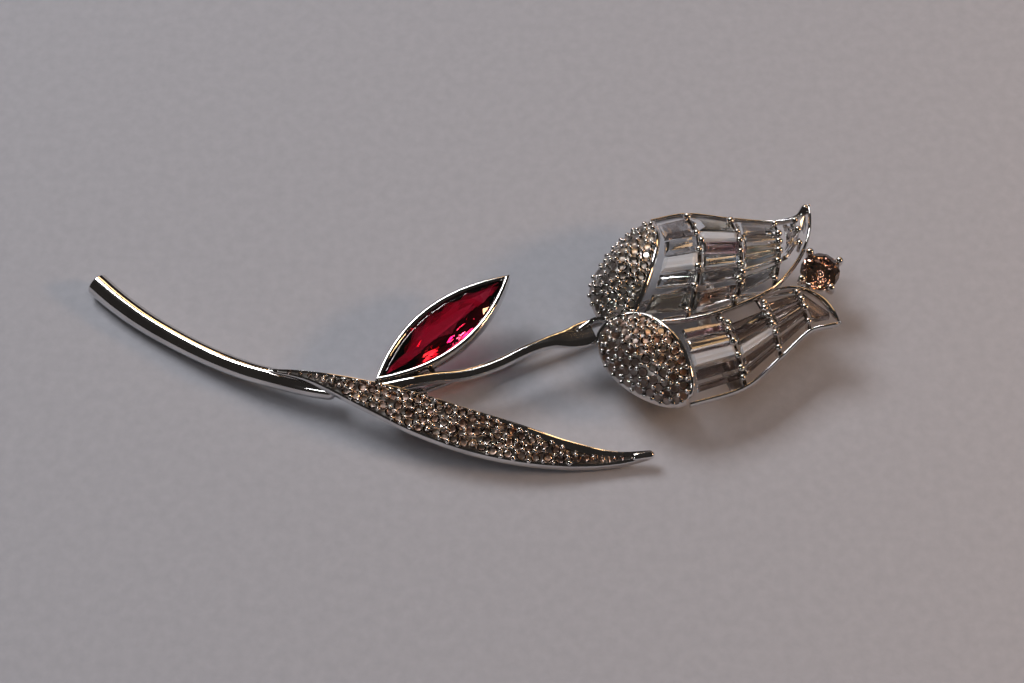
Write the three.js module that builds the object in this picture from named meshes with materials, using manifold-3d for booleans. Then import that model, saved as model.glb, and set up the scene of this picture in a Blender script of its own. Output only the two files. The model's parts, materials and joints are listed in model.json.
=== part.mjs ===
// Tulip brooch: a pave and baguette set flower on a curved stem, with a navette leaf, a long pave leaf,
// and a hinged pin with a rollover safety catch on its back.
// Millimetres. The front faces +Z, the stem's cut end lies towards -X and the flower towards +X.

import * as THREE from 'three';
import { mergeVertices } from 'three/addons/utils/BufferGeometryUtils.js';
import { ConvexGeometry } from 'three/addons/geometries/ConvexGeometry.js';
import Module from 'manifold-3d';

const wasm = await Module();
wasm.setup();

// ---- driving dimensions -------------------------------------------------------------------------

// The outlines below are drawn on a sheet of DRAWN_LENGTH by DRAWN_WIDTH and stretched to these two.
const BROOCH_LENGTH = 75;
const BROOCH_WIDTH = 29;
const DRAWN_LENGTH = 75;
const DRAWN_WIDTH = 29;

// Clearance between pieces that are soldered or set against each other.
const SEAT_GAP = 0.1;

const LOWER_STEM_RADIUS = 0.98;
const STEM_END_RADIUS = 1.2;
const UPPER_STEM_RADIUS = 0.6;
const STEM_FLARE_WIDTH = 1.7;
const STEM_FLARE_HEIGHT = 0.65;

const LEAF_THICKNESS = 0.9;
const LEAF_RIM_WIDTH = 0.32;
const LEAF_BAND_WIDTH = 0.85;
const LEAF_PAVE_THICKNESS = 0.35;

const NAVETTE_LENGTH = 15.7;
const NAVETTE_WIDTH = 4.5;
const NAVETTE_CROWN = 0.75;
const NAVETTE_PAVILION = 1.15;
const BEZEL_WALL = 0.5;
const BEZEL_HEIGHT = 1.4;
const BEZEL_LEDGE_WIDTH = 0.5;
const BEZEL_LEDGE_DROP = 0.35;
const GIRDLE = 0.12;

const PETAL_RIM_RADIUS = 0.4;
const RAIL_RADIUS = 0.26;
const RAIL_DROP = 0.72;
const PETAL_CROWN = 0.38;
const BAGUETTE_CROWN = 0.3;
const BAGUETTE_PAVILION = 0.75;
const BAGUETTE_END_GAP = 0.22;
const BAGUETTE_SIDE_GAP = 0.07;
const STONE_GAP = 0.02;

const CUP_RIM_RADIUS = 0.34;
const CUP_SHELL_THICKNESS = 0.45;
const CUP_PAVE_THICKNESS = 0.45;

const PISTIL_RADIUS = 2;
const PISTIL_CROWN = 0.72;
const PISTIL_PAVILION = 1.72;
const PRONG_RADIUS = 0.26;
const PRONG_BEAD_RADIUS = 0.4;
const POST_RADIUS = 0.45;

const PIN_RADIUS = 0.4;
const PIN_OVERRUN = 3;
const PIN_POINT_LENGTH = 5;
const PIN_HEIGHT = 1.65;
const KNUCKLE_RADIUS = 0.75;
const KNUCKLE_WIDTH = 1.1;
const RIVET_RADIUS = 0.35;
const RIVET_HEAD_RADIUS = 0.58;
const RIVET_HEAD_THICKNESS = 0.25;
const RUNNING_GAP = 0.07;
const EAR_THICKNESS = 0.5;
const EAR_RADIUS = 0.8;
const HINGE_PLATE_THICKNESS = 0.4;
const HINGE_PLATE_LENGTH = 4;
const HINGE_RELIEF = 0.06;

const CATCH_LENGTH = 1.6;
const CATCH_WALL = 0.5;
const ROLLER_LENGTH = 2.9;
const ROLLER_WALL = 0.46;
const LEVER_REACH = 1.5;
const LEVER_THICKNESS = 0.4;
const BRIDGE_WIDTH = 1.3;
const BRIDGE_THICKNESS = 0.45;

// ---- geometry helpers ---------------------------------------------------------------------------

// A point of the drawn plan, stretched to the brooch's length and width.
function plan(x, y, z) {
  return new THREE.Vector3((x * BROOCH_LENGTH) / DRAWN_LENGTH, (y * BROOCH_WIDTH) / DRAWN_WIDTH, z);
}

function planPoints(rows) {
  return rows.map(([x, y, z]) => plan(x, y, z));
}

function smooth(rows) {
  return new THREE.CatmullRomCurve3(planPoints(rows), false, 'centripetal');
}

function signedVolume(geometry) {
  const position = geometry.attributes.position;
  const index = geometry.index.array;
  const a = new THREE.Vector3();
  const b = new THREE.Vector3();
  const c = new THREE.Vector3();
  let volume = 0;
  for (let i = 0; i < index.length; i += 3) {
    a.fromBufferAttribute(position, index[i]);
    b.fromBufferAttribute(position, index[i + 1]);
    c.fromBufferAttribute(position, index[i + 2]);
    volume += a.dot(b.cross(c)) / 6;
  }
  return volume;
}

// Shared vertices merged and faces pointing out, as a boolean needs them.
function closed(geometry) {
  geometry.deleteAttribute('normal');
  geometry.deleteAttribute('uv');
  const merged = mergeVertices(geometry, 1e-5);
  const index = merged.index.array;
  const kept = [];
  for (let i = 0; i < index.length; i += 3) {
    const [a, b, c] = [index[i], index[i + 1], index[i + 2]];
    if (a !== b && b !== c && c !== a) kept.push(a, b, c);
  }
  merged.setIndex(kept);
  if (signedVolume(merged) < 0) {
    merged.setIndex(kept.reverse());
  }
  return merged;
}

function toSolid(geometry) {
  const ready = closed(geometry.clone());
  return new wasm.Manifold(new wasm.Mesh({
    numProp: 3,
    vertProperties: new Float32Array(ready.attributes.position.array),
    triVerts: new Uint32Array(ready.index.array),
  }));
}

function toGeometry(solid) {
  const mesh = solid.getMesh();
  const geometry = new THREE.BufferGeometry();
  geometry.setAttribute('position', new THREE.BufferAttribute(new Float32Array(mesh.vertProperties), 3));
  geometry.setIndex(new THREE.BufferAttribute(new Uint32Array(mesh.triVerts), 1));
  return geometry;
}

function join(...geometries) {
  return toGeometry(geometries.map(toSolid).reduce((sum, next) => sum.add(next)));
}

// The largest body that is left when the tools are cut away; small offcuts are dropped.
function cut(geometry, ...tools) {
  const rest = tools.map(toSolid).reduce((left, tool) => left.subtract(tool), toSolid(geometry));
  return toGeometry(rest.decompose().reduce((best, next) => (next.volume() > best.volume() ? next : best)));
}

// A closed body wrapped round a sphere's grid: place(u, row) gives the point at the share u of the way
// round ring number row, and the first and last rings close to one point each.
function wrap(columns, rows, place) {
  const geometry = new THREE.SphereGeometry(1, columns, rows);
  const position = geometry.attributes.position;
  for (let row = 0; row <= rows; row += 1) {
    for (let column = 0; column <= columns; column += 1) {
      const share = row === 0 || row === rows ? 0 : (column % columns) / columns;
      const point = place(share, row);
      position.setXYZ(row * (columns + 1) + column, point.x, point.y, point.z);
    }
  }
  return closed(geometry);
}

// A bar along a curve whose half width and half height change with the share t of its length.
// The width lies in the XY plane, square to the curve.
function bar(curve, steps, sides, halfSize) {
  const rings = steps + 1;
  return wrap(sides, rings + 1, (u, row) => {
    const t = THREE.MathUtils.clamp((row - 1) / steps, 0, 1);
    const centre = curve.getPoint(t);
    if (row === 0 || row === rings + 1) return centre;
    const tangent = curve.getTangent(t);
    const side = new THREE.Vector3(-tangent.y, tangent.x, 0).normalize();
    const up = new THREE.Vector3().crossVectors(tangent, side).normalize();
    const [width, height] = halfSize(t);
    const angle = u * Math.PI * 2;
    return centre
      .addScaledVector(side, Math.cos(angle) * width)
      .addScaledVector(up, Math.sin(angle) * height);
  });
}

// A wire of one radius along a curve.
function wire(curve, radius, steps, sides) {
  const section = new THREE.Shape();
  for (let i = 0; i < sides; i += 1) {
    const angle = ((i + 0.5) / sides) * Math.PI * 2;
    const corner = [radius * Math.cos(angle), radius * Math.sin(angle)];
    if (i === 0) section.moveTo(...corner);
    else section.lineTo(...corner);
  }
  section.closePath();
  return new THREE.ExtrudeGeometry(section, { steps, bevelEnabled: false, extrudePath: curve });
}

// A cylinder along X, centred on the origin.
function cylinderAlongX(radius, length, sides) {
  return new THREE.CylinderGeometry(radius, radius, length, sides).rotateZ(Math.PI / 2);
}

function metal(colour, roughness) {
  return new THREE.MeshStandardMaterial({ color: colour, roughness, metalness: 1 });
}

function stone(colour) {
  return new THREE.MeshStandardMaterial({ color: colour, roughness: 0.05, metalness: 0 });
}

const group = new THREE.Group();

function addPiece(name, geometry, material, parent = group) {
  const mesh = new THREE.Mesh(closed(geometry), material);
  mesh.name = name;
  parent.add(mesh);
  return mesh;
}

// ---- stems --------------------------------------------------------------------------------------

const lowerStemLine = smooth([
  [-37.4, 6.1, 1.25], [-35.3, 4.1, 1.25], [-32.4, 1.75, 1.25], [-28.9, -0.6, 1.35],
  [-25.3, -2.75, 1.6], [-21.8, -4.5, 1.95], [-19, -5.55, 2.2], [-15.7, -6.6, 2.4], [-12.5, -7.2, 2.4],
]);

const upperStemLine = smooth([
  [-5.4, -7.05, 3.95], [-3, -6.6, 3.95], [0, -6.25, 4.0], [3, -5.2, 4.1], [6, -3.6, 4.2],
  [8.5, -2.65, 4.3], [10.4, -2.25, 4.3], [12.4, -1.5, 4.3],
]);

// The lower stem thickens a little towards its cut end. With grow it is the room that it needs.
function lowerStem(grow = 0) {
  return bar(lowerStemLine, 30, 12, (t) => {
    const share = THREE.MathUtils.smoothstep(t, 0, 0.55);
    const radius = THREE.MathUtils.lerp(STEM_END_RADIUS, LOWER_STEM_RADIUS, share) + grow;
    return [radius, radius];
  });
}

// The upper stem is a round wire that swells into a flat fan where it meets the flower.
function upperStem() {
  return bar(upperStemLine, 26, 10, (t) => {
    const flare = THREE.MathUtils.smoothstep(t, 0.68, 1);
    return [
      THREE.MathUtils.lerp(UPPER_STEM_RADIUS, STEM_FLARE_WIDTH, flare * flare),
      THREE.MathUtils.lerp(UPPER_STEM_RADIUS, STEM_FLARE_HEIGHT, flare),
    ];
  });
}

// ---- long leaf ----------------------------------------------------------------------------------

// The near and far edges of the leaf's top face, point against point from its base to its tip.
const leafNear = smooth([
  [-19.3, -5.6, 3.6], [-15.5, -6.9, 4.1], [-10, -9.9, 4.0], [-5, -12.4, 3.5], [0, -14.1, 2.9],
  [5, -15, 2.25], [10, -15.15, 1.6], [14.5, -14.75, 1.3], [17.8, -14.1, 1.5],
]);
const leafFar = smooth([
  [-19.2, -5.35, 3.6], [-15.5, -6.0, 4.4], [-10, -7.1, 4.6], [-5, -8.3, 4.3], [0, -9.8, 3.8],
  [5, -11.1, 3.05], [10, -12.65, 2.3], [14.5, -13.5, 1.75], [17.9, -13.4, 1.75],
]);

function leafBandWidth(t) {
  return THREE.MathUtils.lerp(LEAF_RIM_WIDTH, LEAF_BAND_WIDTH, THREE.MathUtils.smoothstep(t, 0.5, 0.75));
}

// A loft across the leaf whose corner points are [share of the width, offset in mm, drop in mm].
function leafLoft(from, to, steps, corners) {
  const rings = steps + 1;
  return wrap(corners.length, rings + 1, (u, row) => {
    const t = THREE.MathUtils.lerp(from, to, THREE.MathUtils.clamp((row - 1) / steps, 0, 1));
    const near = leafNear.getPoint(t);
    const far = leafFar.getPoint(t);
    const width = near.distanceTo(far);
    const depth = Math.min(1, width / LEAF_THICKNESS);
    const point = (corner) => {
      const [share, drop] = corner(t, width);
      return near.clone().lerp(far, share).add(new THREE.Vector3(0, 0, -drop * depth));
    };
    if (row === 0 || row === rings + 1) {
      const sum = corners.map(point).reduce((total, next) => total.add(next));
      return sum.divideScalar(corners.length);
    }
    return point(corners[Math.round(u * corners.length)]);
  });
}

const rimShare = (width) => Math.min(0.3, LEAF_RIM_WIDTH / width);
const bandShare = (t, width) => Math.min(0.4, leafBandWidth(t) / width);

// The leaf's casting: a tray with a thin rim along the near edge and a wide polished band on the far one.
function leafBody() {
  const recess = LEAF_PAVE_THICKNESS;
  return leafLoft(0, 1, 30, [
    () => [0, LEAF_THICKNESS],
    () => [1, LEAF_THICKNESS],
    () => [1, 0],
    (t, width) => [1 - bandShare(t, width), 0],
    (t, width) => [1 - bandShare(t, width), recess],
    (t, width) => [rimShare(width), recess],
    (t, width) => [rimShare(width), 0],
    () => [0, 0],
  ]);
}

function leafPave() {
  const side = SEAT_GAP;
  const floor = LEAF_PAVE_THICKNESS - SEAT_GAP / 2;
  return leafLoft(0.09, 0.92, 28, [
    (t, width) => [rimShare(width) + side / width, floor],
    (t, width) => [1 - bandShare(t, width) - side / width, floor],
    (t, width) => [1 - bandShare(t, width) - side / width, 0],
    () => [0.5, -SEAT_GAP],
    (t, width) => [rimShare(width) + side / width, 0],
  ]);
}

// ---- navette leaf -------------------------------------------------------------------------------

// The sides meet at a sharp angle, so a gap across the navette needs this many times more along it.
const POINT_RATIO = 4;

const seatLength = NAVETTE_LENGTH + POINT_RATIO * SEAT_GAP;
const seatWidth = NAVETTE_WIDTH + 2 * SEAT_GAP;
const bezelLength = seatLength + 3 * BEZEL_WALL;
const bezelWidth = seatWidth + 2 * BEZEL_WALL;

// The bezel's flank stays beside the stem, so a wider navette grows away from it.
const flankSpot = plan(-0.35, -3.624, 5.15);

const navette = new THREE.Group();
navette.rotation.order = 'ZYX';
navette.rotation.z = 0.73;
navette.rotation.y = -0.055;
navette.position.set(0, bezelWidth / 2, 0).applyEuler(navette.rotation).add(flankSpot);
group.add(navette);

// One point of a navette outline: two bowed sides that meet in a point at each end.
function navettePoint(turn, length, width) {
  const angle = turn * Math.PI * 2;
  const along = Math.cos(angle);
  return [(along * length) / 2, (Math.sign(Math.sin(angle)) * width * (1 - along * along)) / 2];
}

function navetteBlock(length, width, bottom, top) {
  const sides = 28;
  const shape = new THREE.Shape();
  for (let i = 0; i < sides; i += 1) {
    const corner = navettePoint(i / sides, length, width);
    if (i === 0) shape.moveTo(...corner);
    else shape.lineTo(...corner);
  }
  const block = new THREE.ExtrudeGeometry(shape, { depth: top - bottom, bevelEnabled: false });
  return block.translate(0, 0, bottom);
}

// The bezel's local zero is its top edge; the stone's girdle lies just under it.
const girdleTop = -0.15;
const ledgeTop = girdleTop - GIRDLE - BEZEL_LEDGE_DROP;

function navetteBezel() {
  const outer = navetteBlock(bezelLength, bezelWidth, -BEZEL_HEIGHT, 0);
  const seat = navetteBlock(seatLength, seatWidth, ledgeTop, 1);
  const backLength = seatLength - POINT_RATIO * BEZEL_LEDGE_WIDTH / 2;
  const back = navetteBlock(backLength, seatWidth - 2 * BEZEL_LEDGE_WIDTH, -BEZEL_HEIGHT - 1, 0.5);
  return cut(outer, seat, back);
}

// Rings of points, each [share of the length, share of the width, height, corners, turn offset].
function navetteStone() {
  const rings = [
    [1, 1, girdleTop, 24, 0],
    [1, 1, girdleTop - GIRDLE, 24, 0],
    [0.84, 0.74, girdleTop + NAVETTE_CROWN * 0.6, 16, 0],
    [0.66, 0.42, girdleTop + NAVETTE_CROWN, 10, 0],
    [0.62, 0.5, girdleTop - GIRDLE - NAVETTE_PAVILION * 0.55, 12, 0],
    [0.4, 0.02, girdleTop - GIRDLE - NAVETTE_PAVILION, 4, 0],
  ];
  const points = [];
  for (const [longShare, wideShare, height, corners, offset] of rings) {
    for (let i = 0; i < corners; i += 1) {
      const turn = (i + offset) / corners;
      const [x, y] = navettePoint(turn, NAVETTE_LENGTH * longShare, NAVETTE_WIDTH * wideShare);
      points.push(new THREE.Vector3(x, y, height));
    }
  }
  return new ConvexGeometry(points);
}

// The room that the bezel needs, with a seat gap round it.
function bezelRoom() {
  const roomLength = bezelLength + POINT_RATIO * SEAT_GAP;
  const room = navetteBlock(roomLength, bezelWidth + 2 * SEAT_GAP, -2 * BEZEL_HEIGHT, 1);
  navette.updateMatrix();
  return room.applyMatrix4(navette.matrix);
}

// A short bar from the upper stem to the bezel's wall, stopping short of both.
function bezelStrut() {
  const line = smooth([[-2.9, -6.9, 3.9], [-3.3, -5.9, 3.9], [-3.8, -4.6, 4.0]]);
  const stemRoom = bar(upperStemLine, 26, 10, () => [UPPER_STEM_RADIUS + SEAT_GAP, UPPER_STEM_RADIUS + 1]);
  return cut(bar(line, 4, 8, () => [0.4, 0.3]), stemRoom, bezelRoom());
}

// ---- cups at the base of the petals ---------------------------------------------------------------

// A cup is a dome over a closed outline, highest over its centre. The inset is measured square to the outline.
function cupPoint(cup, u, share, inset) {
  const edge = cup.outline.getPoint(u);
  const tangent = cup.outline.getTangent(u);
  const outward = new THREE.Vector2(edge.x - cup.centre.x, edge.y - cup.centre.y);
  const along = new THREE.Vector2(tangent.x, tangent.y).normalize();
  const squareReach = Math.abs(outward.cross(along));
  const rho = share * (1 - inset / squareReach);
  return new THREE.Vector3(
    THREE.MathUtils.lerp(cup.centre.x, edge.x, rho),
    THREE.MathUtils.lerp(cup.centre.y, edge.y, rho),
    THREE.MathUtils.lerp(cup.centre.z, edge.z, Math.min(1, rho * rho)),
  );
}

// A plate of the dome between two depths under its surface, inset from the outline.
function cupPlate(cup, topDepth, bottomDepth, inset, columns = 32, rings = 4) {
  const rows = 2 * rings + 1;
  return wrap(columns, rows, (u, row) => {
    const onTop = row <= rings;
    const share = (onTop ? row : rows - row) / rings;
    const point = cupPoint(cup, u, share, inset);
    point.z -= onTop ? topDepth : bottomDepth;
    return point;
  });
}

function makeCup(rows, centre) {
  return {
    outline: new THREE.CatmullRomCurve3(planPoints(rows), true, 'centripetal'),
    centre: plan(...centre),
  };
}

const CUP_SHELL_DEPTH = CUP_PAVE_THICKNESS + SEAT_GAP;

function cupShell(cup) {
  const plate = cupPlate(cup, CUP_SHELL_DEPTH, CUP_SHELL_DEPTH + CUP_SHELL_THICKNESS, 0);
  const rimSteps = 44;
  const lift = CUP_RIM_RADIUS - CUP_SHELL_DEPTH - SEAT_GAP;
  const rimLine = new THREE.CatmullRomCurve3(
    Array.from({ length: rimSteps }, (_, i) => {
      const point = cupPoint(cup, i / rimSteps, 1, 0);
      point.z += lift;
      return point;
    }),
    true,
  );
  return join(plate, ring(rimLine, CUP_RIM_RADIUS, rimSteps, 6));
}

// A closed ring of round wire: two halves that overlap a little, joined.
function ring(curve, radius, steps, sides) {
  const overlap = 0.004;
  const half = (from, to) => {
    const points = Array.from({ length: steps / 2 + 1 }, (_, i) => (
      curve.getPoint((THREE.MathUtils.lerp(from, to, (2 * i) / steps) + 1) % 1)
    ));
    return wire(new THREE.CatmullRomCurve3(points), radius, steps / 2, sides);
  };
  return join(half(-overlap, 0.5), half(0.5 - overlap, 1));
}

function cupPave(cup) {
  return cupPlate(cup, 0, CUP_PAVE_THICKNESS, CUP_RIM_RADIUS + 2 * SEAT_GAP);
}

const upperCup = makeCup([
  [18.4, 11, 5.1], [18.75, 9.6, 6.4], [18.9, 7.5, 7.6], [18.55, 5.15, 7.9], [17.7, 2.4, 7.3],
  [16.9, 0.65, 6.5], [16.1, -0.8, 5.4], [14.4, -0.8, 4.8], [13, 0.1, 4.6], [12.15, 2.3, 4.5],
  [12.45, 4.2, 4.5], [13.65, 6.7, 4.5], [15.3, 8.85, 4.6], [16.95, 10.3, 4.8],
], [15.8, 5.0, 7.5]);

const lowerCup = makeCup([
  [12.85, -3, 4.5], [13.3, -5, 4.4], [14.35, -6.7, 4.4], [15.9, -8.2, 4.4], [17.6, -9.25, 4.4],
  [19.6, -9.9, 4.4], [21.35, -9.75, 4.7], [21.75, -8.3, 6.2], [21.2, -6.2, 7.4], [20.35, -4.5, 7.8],
  [19.1, -2.85, 7.7], [17.75, -1.6, 7.3], [16.3, -1, 6.8], [14.85, -1.05, 6.3], [13.4, -1.7, 5.3],
], [17.2, -5.2, 8.1]);

// ---- petals -------------------------------------------------------------------------------------

// A petal is ruled between two edges and domed in proportion to its half width. Row number t runs from
// the cup to the tip, s from -1 on the first edge to 1 on the second, and bow pushes the middle
// of the first rows towards the tip.
const upperPetal = {
  first: smooth([
    [16.2, -1, 5.2], [21.6, -1.15, 6.0], [26.2, 0, 6.5], [30.3, 2.5, 6.3], [33.15, 6.4, 6.1],
    [34.15, 9.4, 6.15], [34.25, 11.9, 6.8],
  ]),
  second: smooth([
    [18.4, 11, 4.9], [22.1, 12.15, 4.4], [26.5, 11.6, 4.4], [30.9, 10.9, 4.9], [32.8, 10.9, 5.6],
    [33.7, 11.25, 6.2], [34.25, 11.9, 6.8],
  ]),
  rows: 6,
  bow: 1.6,
};

const lowerPetal = {
  first: smooth([
    [21.6, -9.75, 4.3], [27.1, -7.7, 4.25], [30.7, -4.45, 4.5], [33.7, -1.8, 5.1], [35.4, -1.45, 5.4],
    [36.6, -1.25, 5.5],
  ]),
  second: smooth([
    [19.4, -0.6, 4.6], [24.4, 0.4, 4.75], [28.6, 1.8, 5.0], [32.3, 2.8, 5.2], [34.9, 1.5, 5.4],
    [36.6, -1.25, 5.5],
  ]),
  rows: 5,
  bow: 0.4,
};

function petalPoint(petal, t, s) {
  const share = t / petal.rows;
  const first = petal.first.getPoint(share);
  const second = petal.second.getPoint(share);
  const crown = 1 - s * s;
  const point = first.clone().lerp(second, (s + 1) / 2);
  point.x += petal.bow * crown * Math.max(0, 1 - t / 4);
  point.z += PETAL_CROWN * (first.distanceTo(second) / 2) * crown;
  return point;
}

function petalHalfWidth(petal, t) {
  const share = t / petal.rows;
  return petal.first.getPoint(share).distanceTo(petal.second.getPoint(share)) / 2;
}

function petalRail(petal, t, radius) {
  const steps = 12;
  const reach = 1 - PETAL_RIM_RADIUS / (2 * petalHalfWidth(petal, t));
  const points = Array.from({ length: steps + 1 }, (_, i) => {
    const s = reach * ((2 * i) / steps - 1);
    const point = petalPoint(petal, t, s);
    point.z -= RAIL_DROP * (1 - s ** 4);
    return point;
  });
  return wire(new THREE.CatmullRomCurve3(points), radius, steps, 6);
}

// The petal's frame: a rim wire out along one edge, round the tip and back, and rails across it. With grow it is
// the same frame with thicker wires, as the room that the stones keep clear of.
function petalFrame(petal, railRows, grow = 0) {
  const rimRadius = PETAL_RIM_RADIUS + grow;
  const count = 22;
  const lastShare = 0.97;
  const shares = Array.from({ length: count + 1 }, (_, i) => (lastShare * i) / count);
  const out = shares.map((share) => petal.first.getPoint(share));
  const back = shares.map((share) => petal.second.getPoint(share)).reverse();
  const tip = petal.first.getPoint(1);
  const firstSide = wire(new THREE.CatmullRomCurve3([...out, tip]), rimRadius, 28, 6);
  const secondSide = wire(new THREE.CatmullRomCurve3([tip, ...back]), rimRadius, 28, 6);
  const knob = new THREE.SphereGeometry(rimRadius * 1.04, 8, 6).translate(tip.x, tip.y, tip.z);
  const rails = railRows.map((t) => petalRail(petal, t, RAIL_RADIUS + grow));
  return join(firstSide, secondSide, knob, ...rails);
}

// How far out towards an edge a stone can reach: the rim's radius and a gap, measured square to the edge.
function rimLimit(petal, t, s) {
  const share = t / petal.rows;
  const across = petal.second.getPoint(share).sub(petal.first.getPoint(share)).normalize();
  const edge = (s < 0 ? petal.first : petal.second).getTangent(share);
  const slant = Math.max(0.3, new THREE.Vector3().crossVectors(across, edge).length());
  return 1 - (PETAL_RIM_RADIUS + BAGUETTE_END_GAP) / (slant * Math.max(0.8, petalHalfWidth(petal, t)));
}

// A step-cut baguette filling the part of the petal from row t0 to t1 and from s0 to s1, where s of -1
// and 1 mean as far out as the rim leaves room for.
function baguette(petal, t0, t1, s0, s1) {
  const rowLength = petalPoint(petal, t0, 0).distanceTo(petalPoint(petal, t1, 0));
  const inset = ((RAIL_RADIUS + BAGUETTE_END_GAP) / 2 / rowLength) * (t1 - t0);
  const side = (t) => BAGUETTE_SIDE_GAP / Math.max(0.8, petalHalfWidth(petal, t));
  const corner = (t, s, inward) => petalPoint(petal, t, s * rimLimit(petal, t, s) + inward * side(t));
  const corners = [
    corner(t0 + inset, s0, 1), corner(t0 + inset, s1, -1),
    corner(t1 - inset, s1, -1), corner(t1 - inset, s0, 1),
  ];
  const centre = corners.reduce((sum, next) => sum.clone().add(next)).divideScalar(4);
  const normal = new THREE.Vector3().crossVectors(
    corners[2].clone().sub(corners[0]), corners[3].clone().sub(corners[1]),
  ).normalize();
  if (normal.z < 0) normal.negate();
  const flat = corners.map((c) => c.clone().addScaledVector(normal, -normal.dot(c.clone().sub(centre))));
  const shortest = Math.min(flat[0].distanceTo(flat[1]), flat[1].distanceTo(flat[2]),
    flat[2].distanceTo(flat[3]), flat[3].distanceTo(flat[0]));
  const layer = (step, height) => flat.map((c) => {
    const inwards = centre.clone().sub(c);
    const share = Math.min(0.8, (step * shortest) / inwards.length());
    return c.clone().addScaledVector(inwards, share).addScaledVector(normal, height);
  });
  return new ConvexGeometry([
    ...layer(0, 0), ...layer(0, -GIRDLE), ...layer(0.12, BAGUETTE_CROWN * 0.6),
    ...layer(0.3, BAGUETTE_CROWN), ...layer(0.25, -GIRDLE - BAGUETTE_PAVILION * 0.5),
    ...layer(0.5, -GIRDLE - BAGUETTE_PAVILION),
  ]);
}

// Rows of baguettes: the rows between which each lies, and the side limits of its stones.
const upperRows = [
  { from: 0.08, to: 1, sides: [[-1, -0.68], [-0.6, -0.33], [-0.3, 0.02], [0.05, 0.41], [0.45, 1]] },
  {
    from: 1,
    to: 2,
    sides: [[-1, -0.7], [-0.62, -0.37], [-0.34, -0.08], [-0.05, 0.22], [0.25, 0.49], [0.52, 1]],
  },
  { from: 2, to: 3, sides: [[-0.97, -0.6], [-0.51, -0.24], [-0.2, 0.08], [0.11, 0.42], [0.45, 1]] },
  { from: 3.2, to: 4.05, sides: [[-0.78, -0.52], [-0.22, 0.04], [0.12, 0.96]] },
  { from: 4.2, to: 5.15, sides: [[-0.5, 0.65]] },
];
const lowerRows = [
  { from: 0.1, to: 1, sides: [[-1, -0.8], [-0.76, -0.48], [-0.44, -0.09], [-0.05, 0.28], [0.32, 0.66]] },
  { from: 1, to: 2, sides: [[-0.98, -0.82], [-0.78, -0.53], [-0.49, -0.2], [-0.15, 0.14], [0.18, 0.5]] },
  { from: 2, to: 3, sides: [[-1, -0.68], [-0.63, -0.3], [-0.24, 0.22], [0.28, 0.78]] },
  { from: 3.05, to: 4.35, sides: [[-0.95, 0.95]] },
];

// ---- pistil -------------------------------------------------------------------------------------

const pistil = new THREE.Group();
pistil.position.copy(plan(35.1, 5.05, 5.1));
pistil.rotation.x = 0.2;
group.add(pistil);

function ringPoints(radius, height, count, offset) {
  return Array.from({ length: count }, (_, i) => {
    const angle = ((i + offset) / count) * Math.PI * 2;
    return new THREE.Vector3(radius * Math.cos(angle), radius * Math.sin(angle), height);
  });
}

// A round brilliant whose girdle lies at zero.
function pistilStone() {
  return new ConvexGeometry([
    ...ringPoints(PISTIL_RADIUS, 0, 16, 0), ...ringPoints(PISTIL_RADIUS, -GIRDLE, 16, 0),
    ...ringPoints(PISTIL_RADIUS * 0.82, PISTIL_CROWN * 0.6, 8, 0.5),
    ...ringPoints(PISTIL_RADIUS * 0.56, PISTIL_CROWN, 8, 0),
    ...ringPoints(PISTIL_RADIUS * 0.5, -GIRDLE - PISTIL_PAVILION * 0.55, 8, 0.5),
    new THREE.Vector3(0, 0, -GIRDLE - PISTIL_PAVILION),
  ]);
}

const SETTING_OUTER = 1.5;
const SETTING_INNER = 1.15;
const SETTING_TOP = -1.0;
const SETTING_BOTTOM = -1.75;

function pistilSetting() {
  const gallery = new THREE.LatheGeometry([
    new THREE.Vector2(SETTING_INNER, SETTING_BOTTOM), new THREE.Vector2(SETTING_OUTER, SETTING_BOTTOM),
    new THREE.Vector2(SETTING_OUTER, SETTING_TOP), new THREE.Vector2(SETTING_INNER, SETTING_TOP),
    new THREE.Vector2(SETTING_INNER, SETTING_BOTTOM),
  ], 16).rotateX(Math.PI / 2);
  const prongs = [0.47, 2.04, 3.61, 5.18].flatMap((angle) => {
    const out = PISTIL_RADIUS + PRONG_RADIUS + SEAT_GAP;
    const at = (radius, z) => new THREE.Vector3(radius * Math.cos(angle), radius * Math.sin(angle), z);
    const claw = new THREE.CatmullRomCurve3([
      at(SETTING_OUTER - PRONG_RADIUS, SETTING_BOTTOM + 0.3), at(out - 0.15, -0.6), at(out, 0.1),
      at(out - 0.1, 0.42),
    ]);
    const bead = new THREE.SphereGeometry(PRONG_BEAD_RADIUS, 8, 6);
    const top = at(out - 0.22, 0.5);
    return [wire(claw, PRONG_RADIUS, 5, 6), bead.translate(top.x, top.y, top.z)];
  });
  const grown = 1 + SEAT_GAP / PISTIL_RADIUS;
  return cut(join(gallery, ...prongs), pistilStone().scale(grown, grown, 1.08));
}

// ---- pin, hinge and catch -------------------------------------------------------------------------

// The pin runs from its hinge, under the stem, through the catch, under the upper petal, and a little past it.
const hingeSpot = plan(-6, -7.5, PIN_HEIGHT);
const catchSpot = plan(23.1, 5.8, PIN_HEIGHT);
const catchDistance = hingeSpot.distanceTo(catchSpot);
const pinLength = catchDistance + PIN_OVERRUN;

// The pin's own frame: its hinge at the origin, X along the pin, Z out of the front.
const pinFrame = new THREE.Group();
pinFrame.position.copy(hingeSpot);
pinFrame.rotation.z = Math.atan2(catchSpot.y - hingeSpot.y, catchSpot.x - hingeSpot.x);
group.add(pinFrame);

const earsInside = KNUCKLE_WIDTH / 2 + SEAT_GAP;
const earsOutside = earsInside + EAR_THICKNESS;

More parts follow.
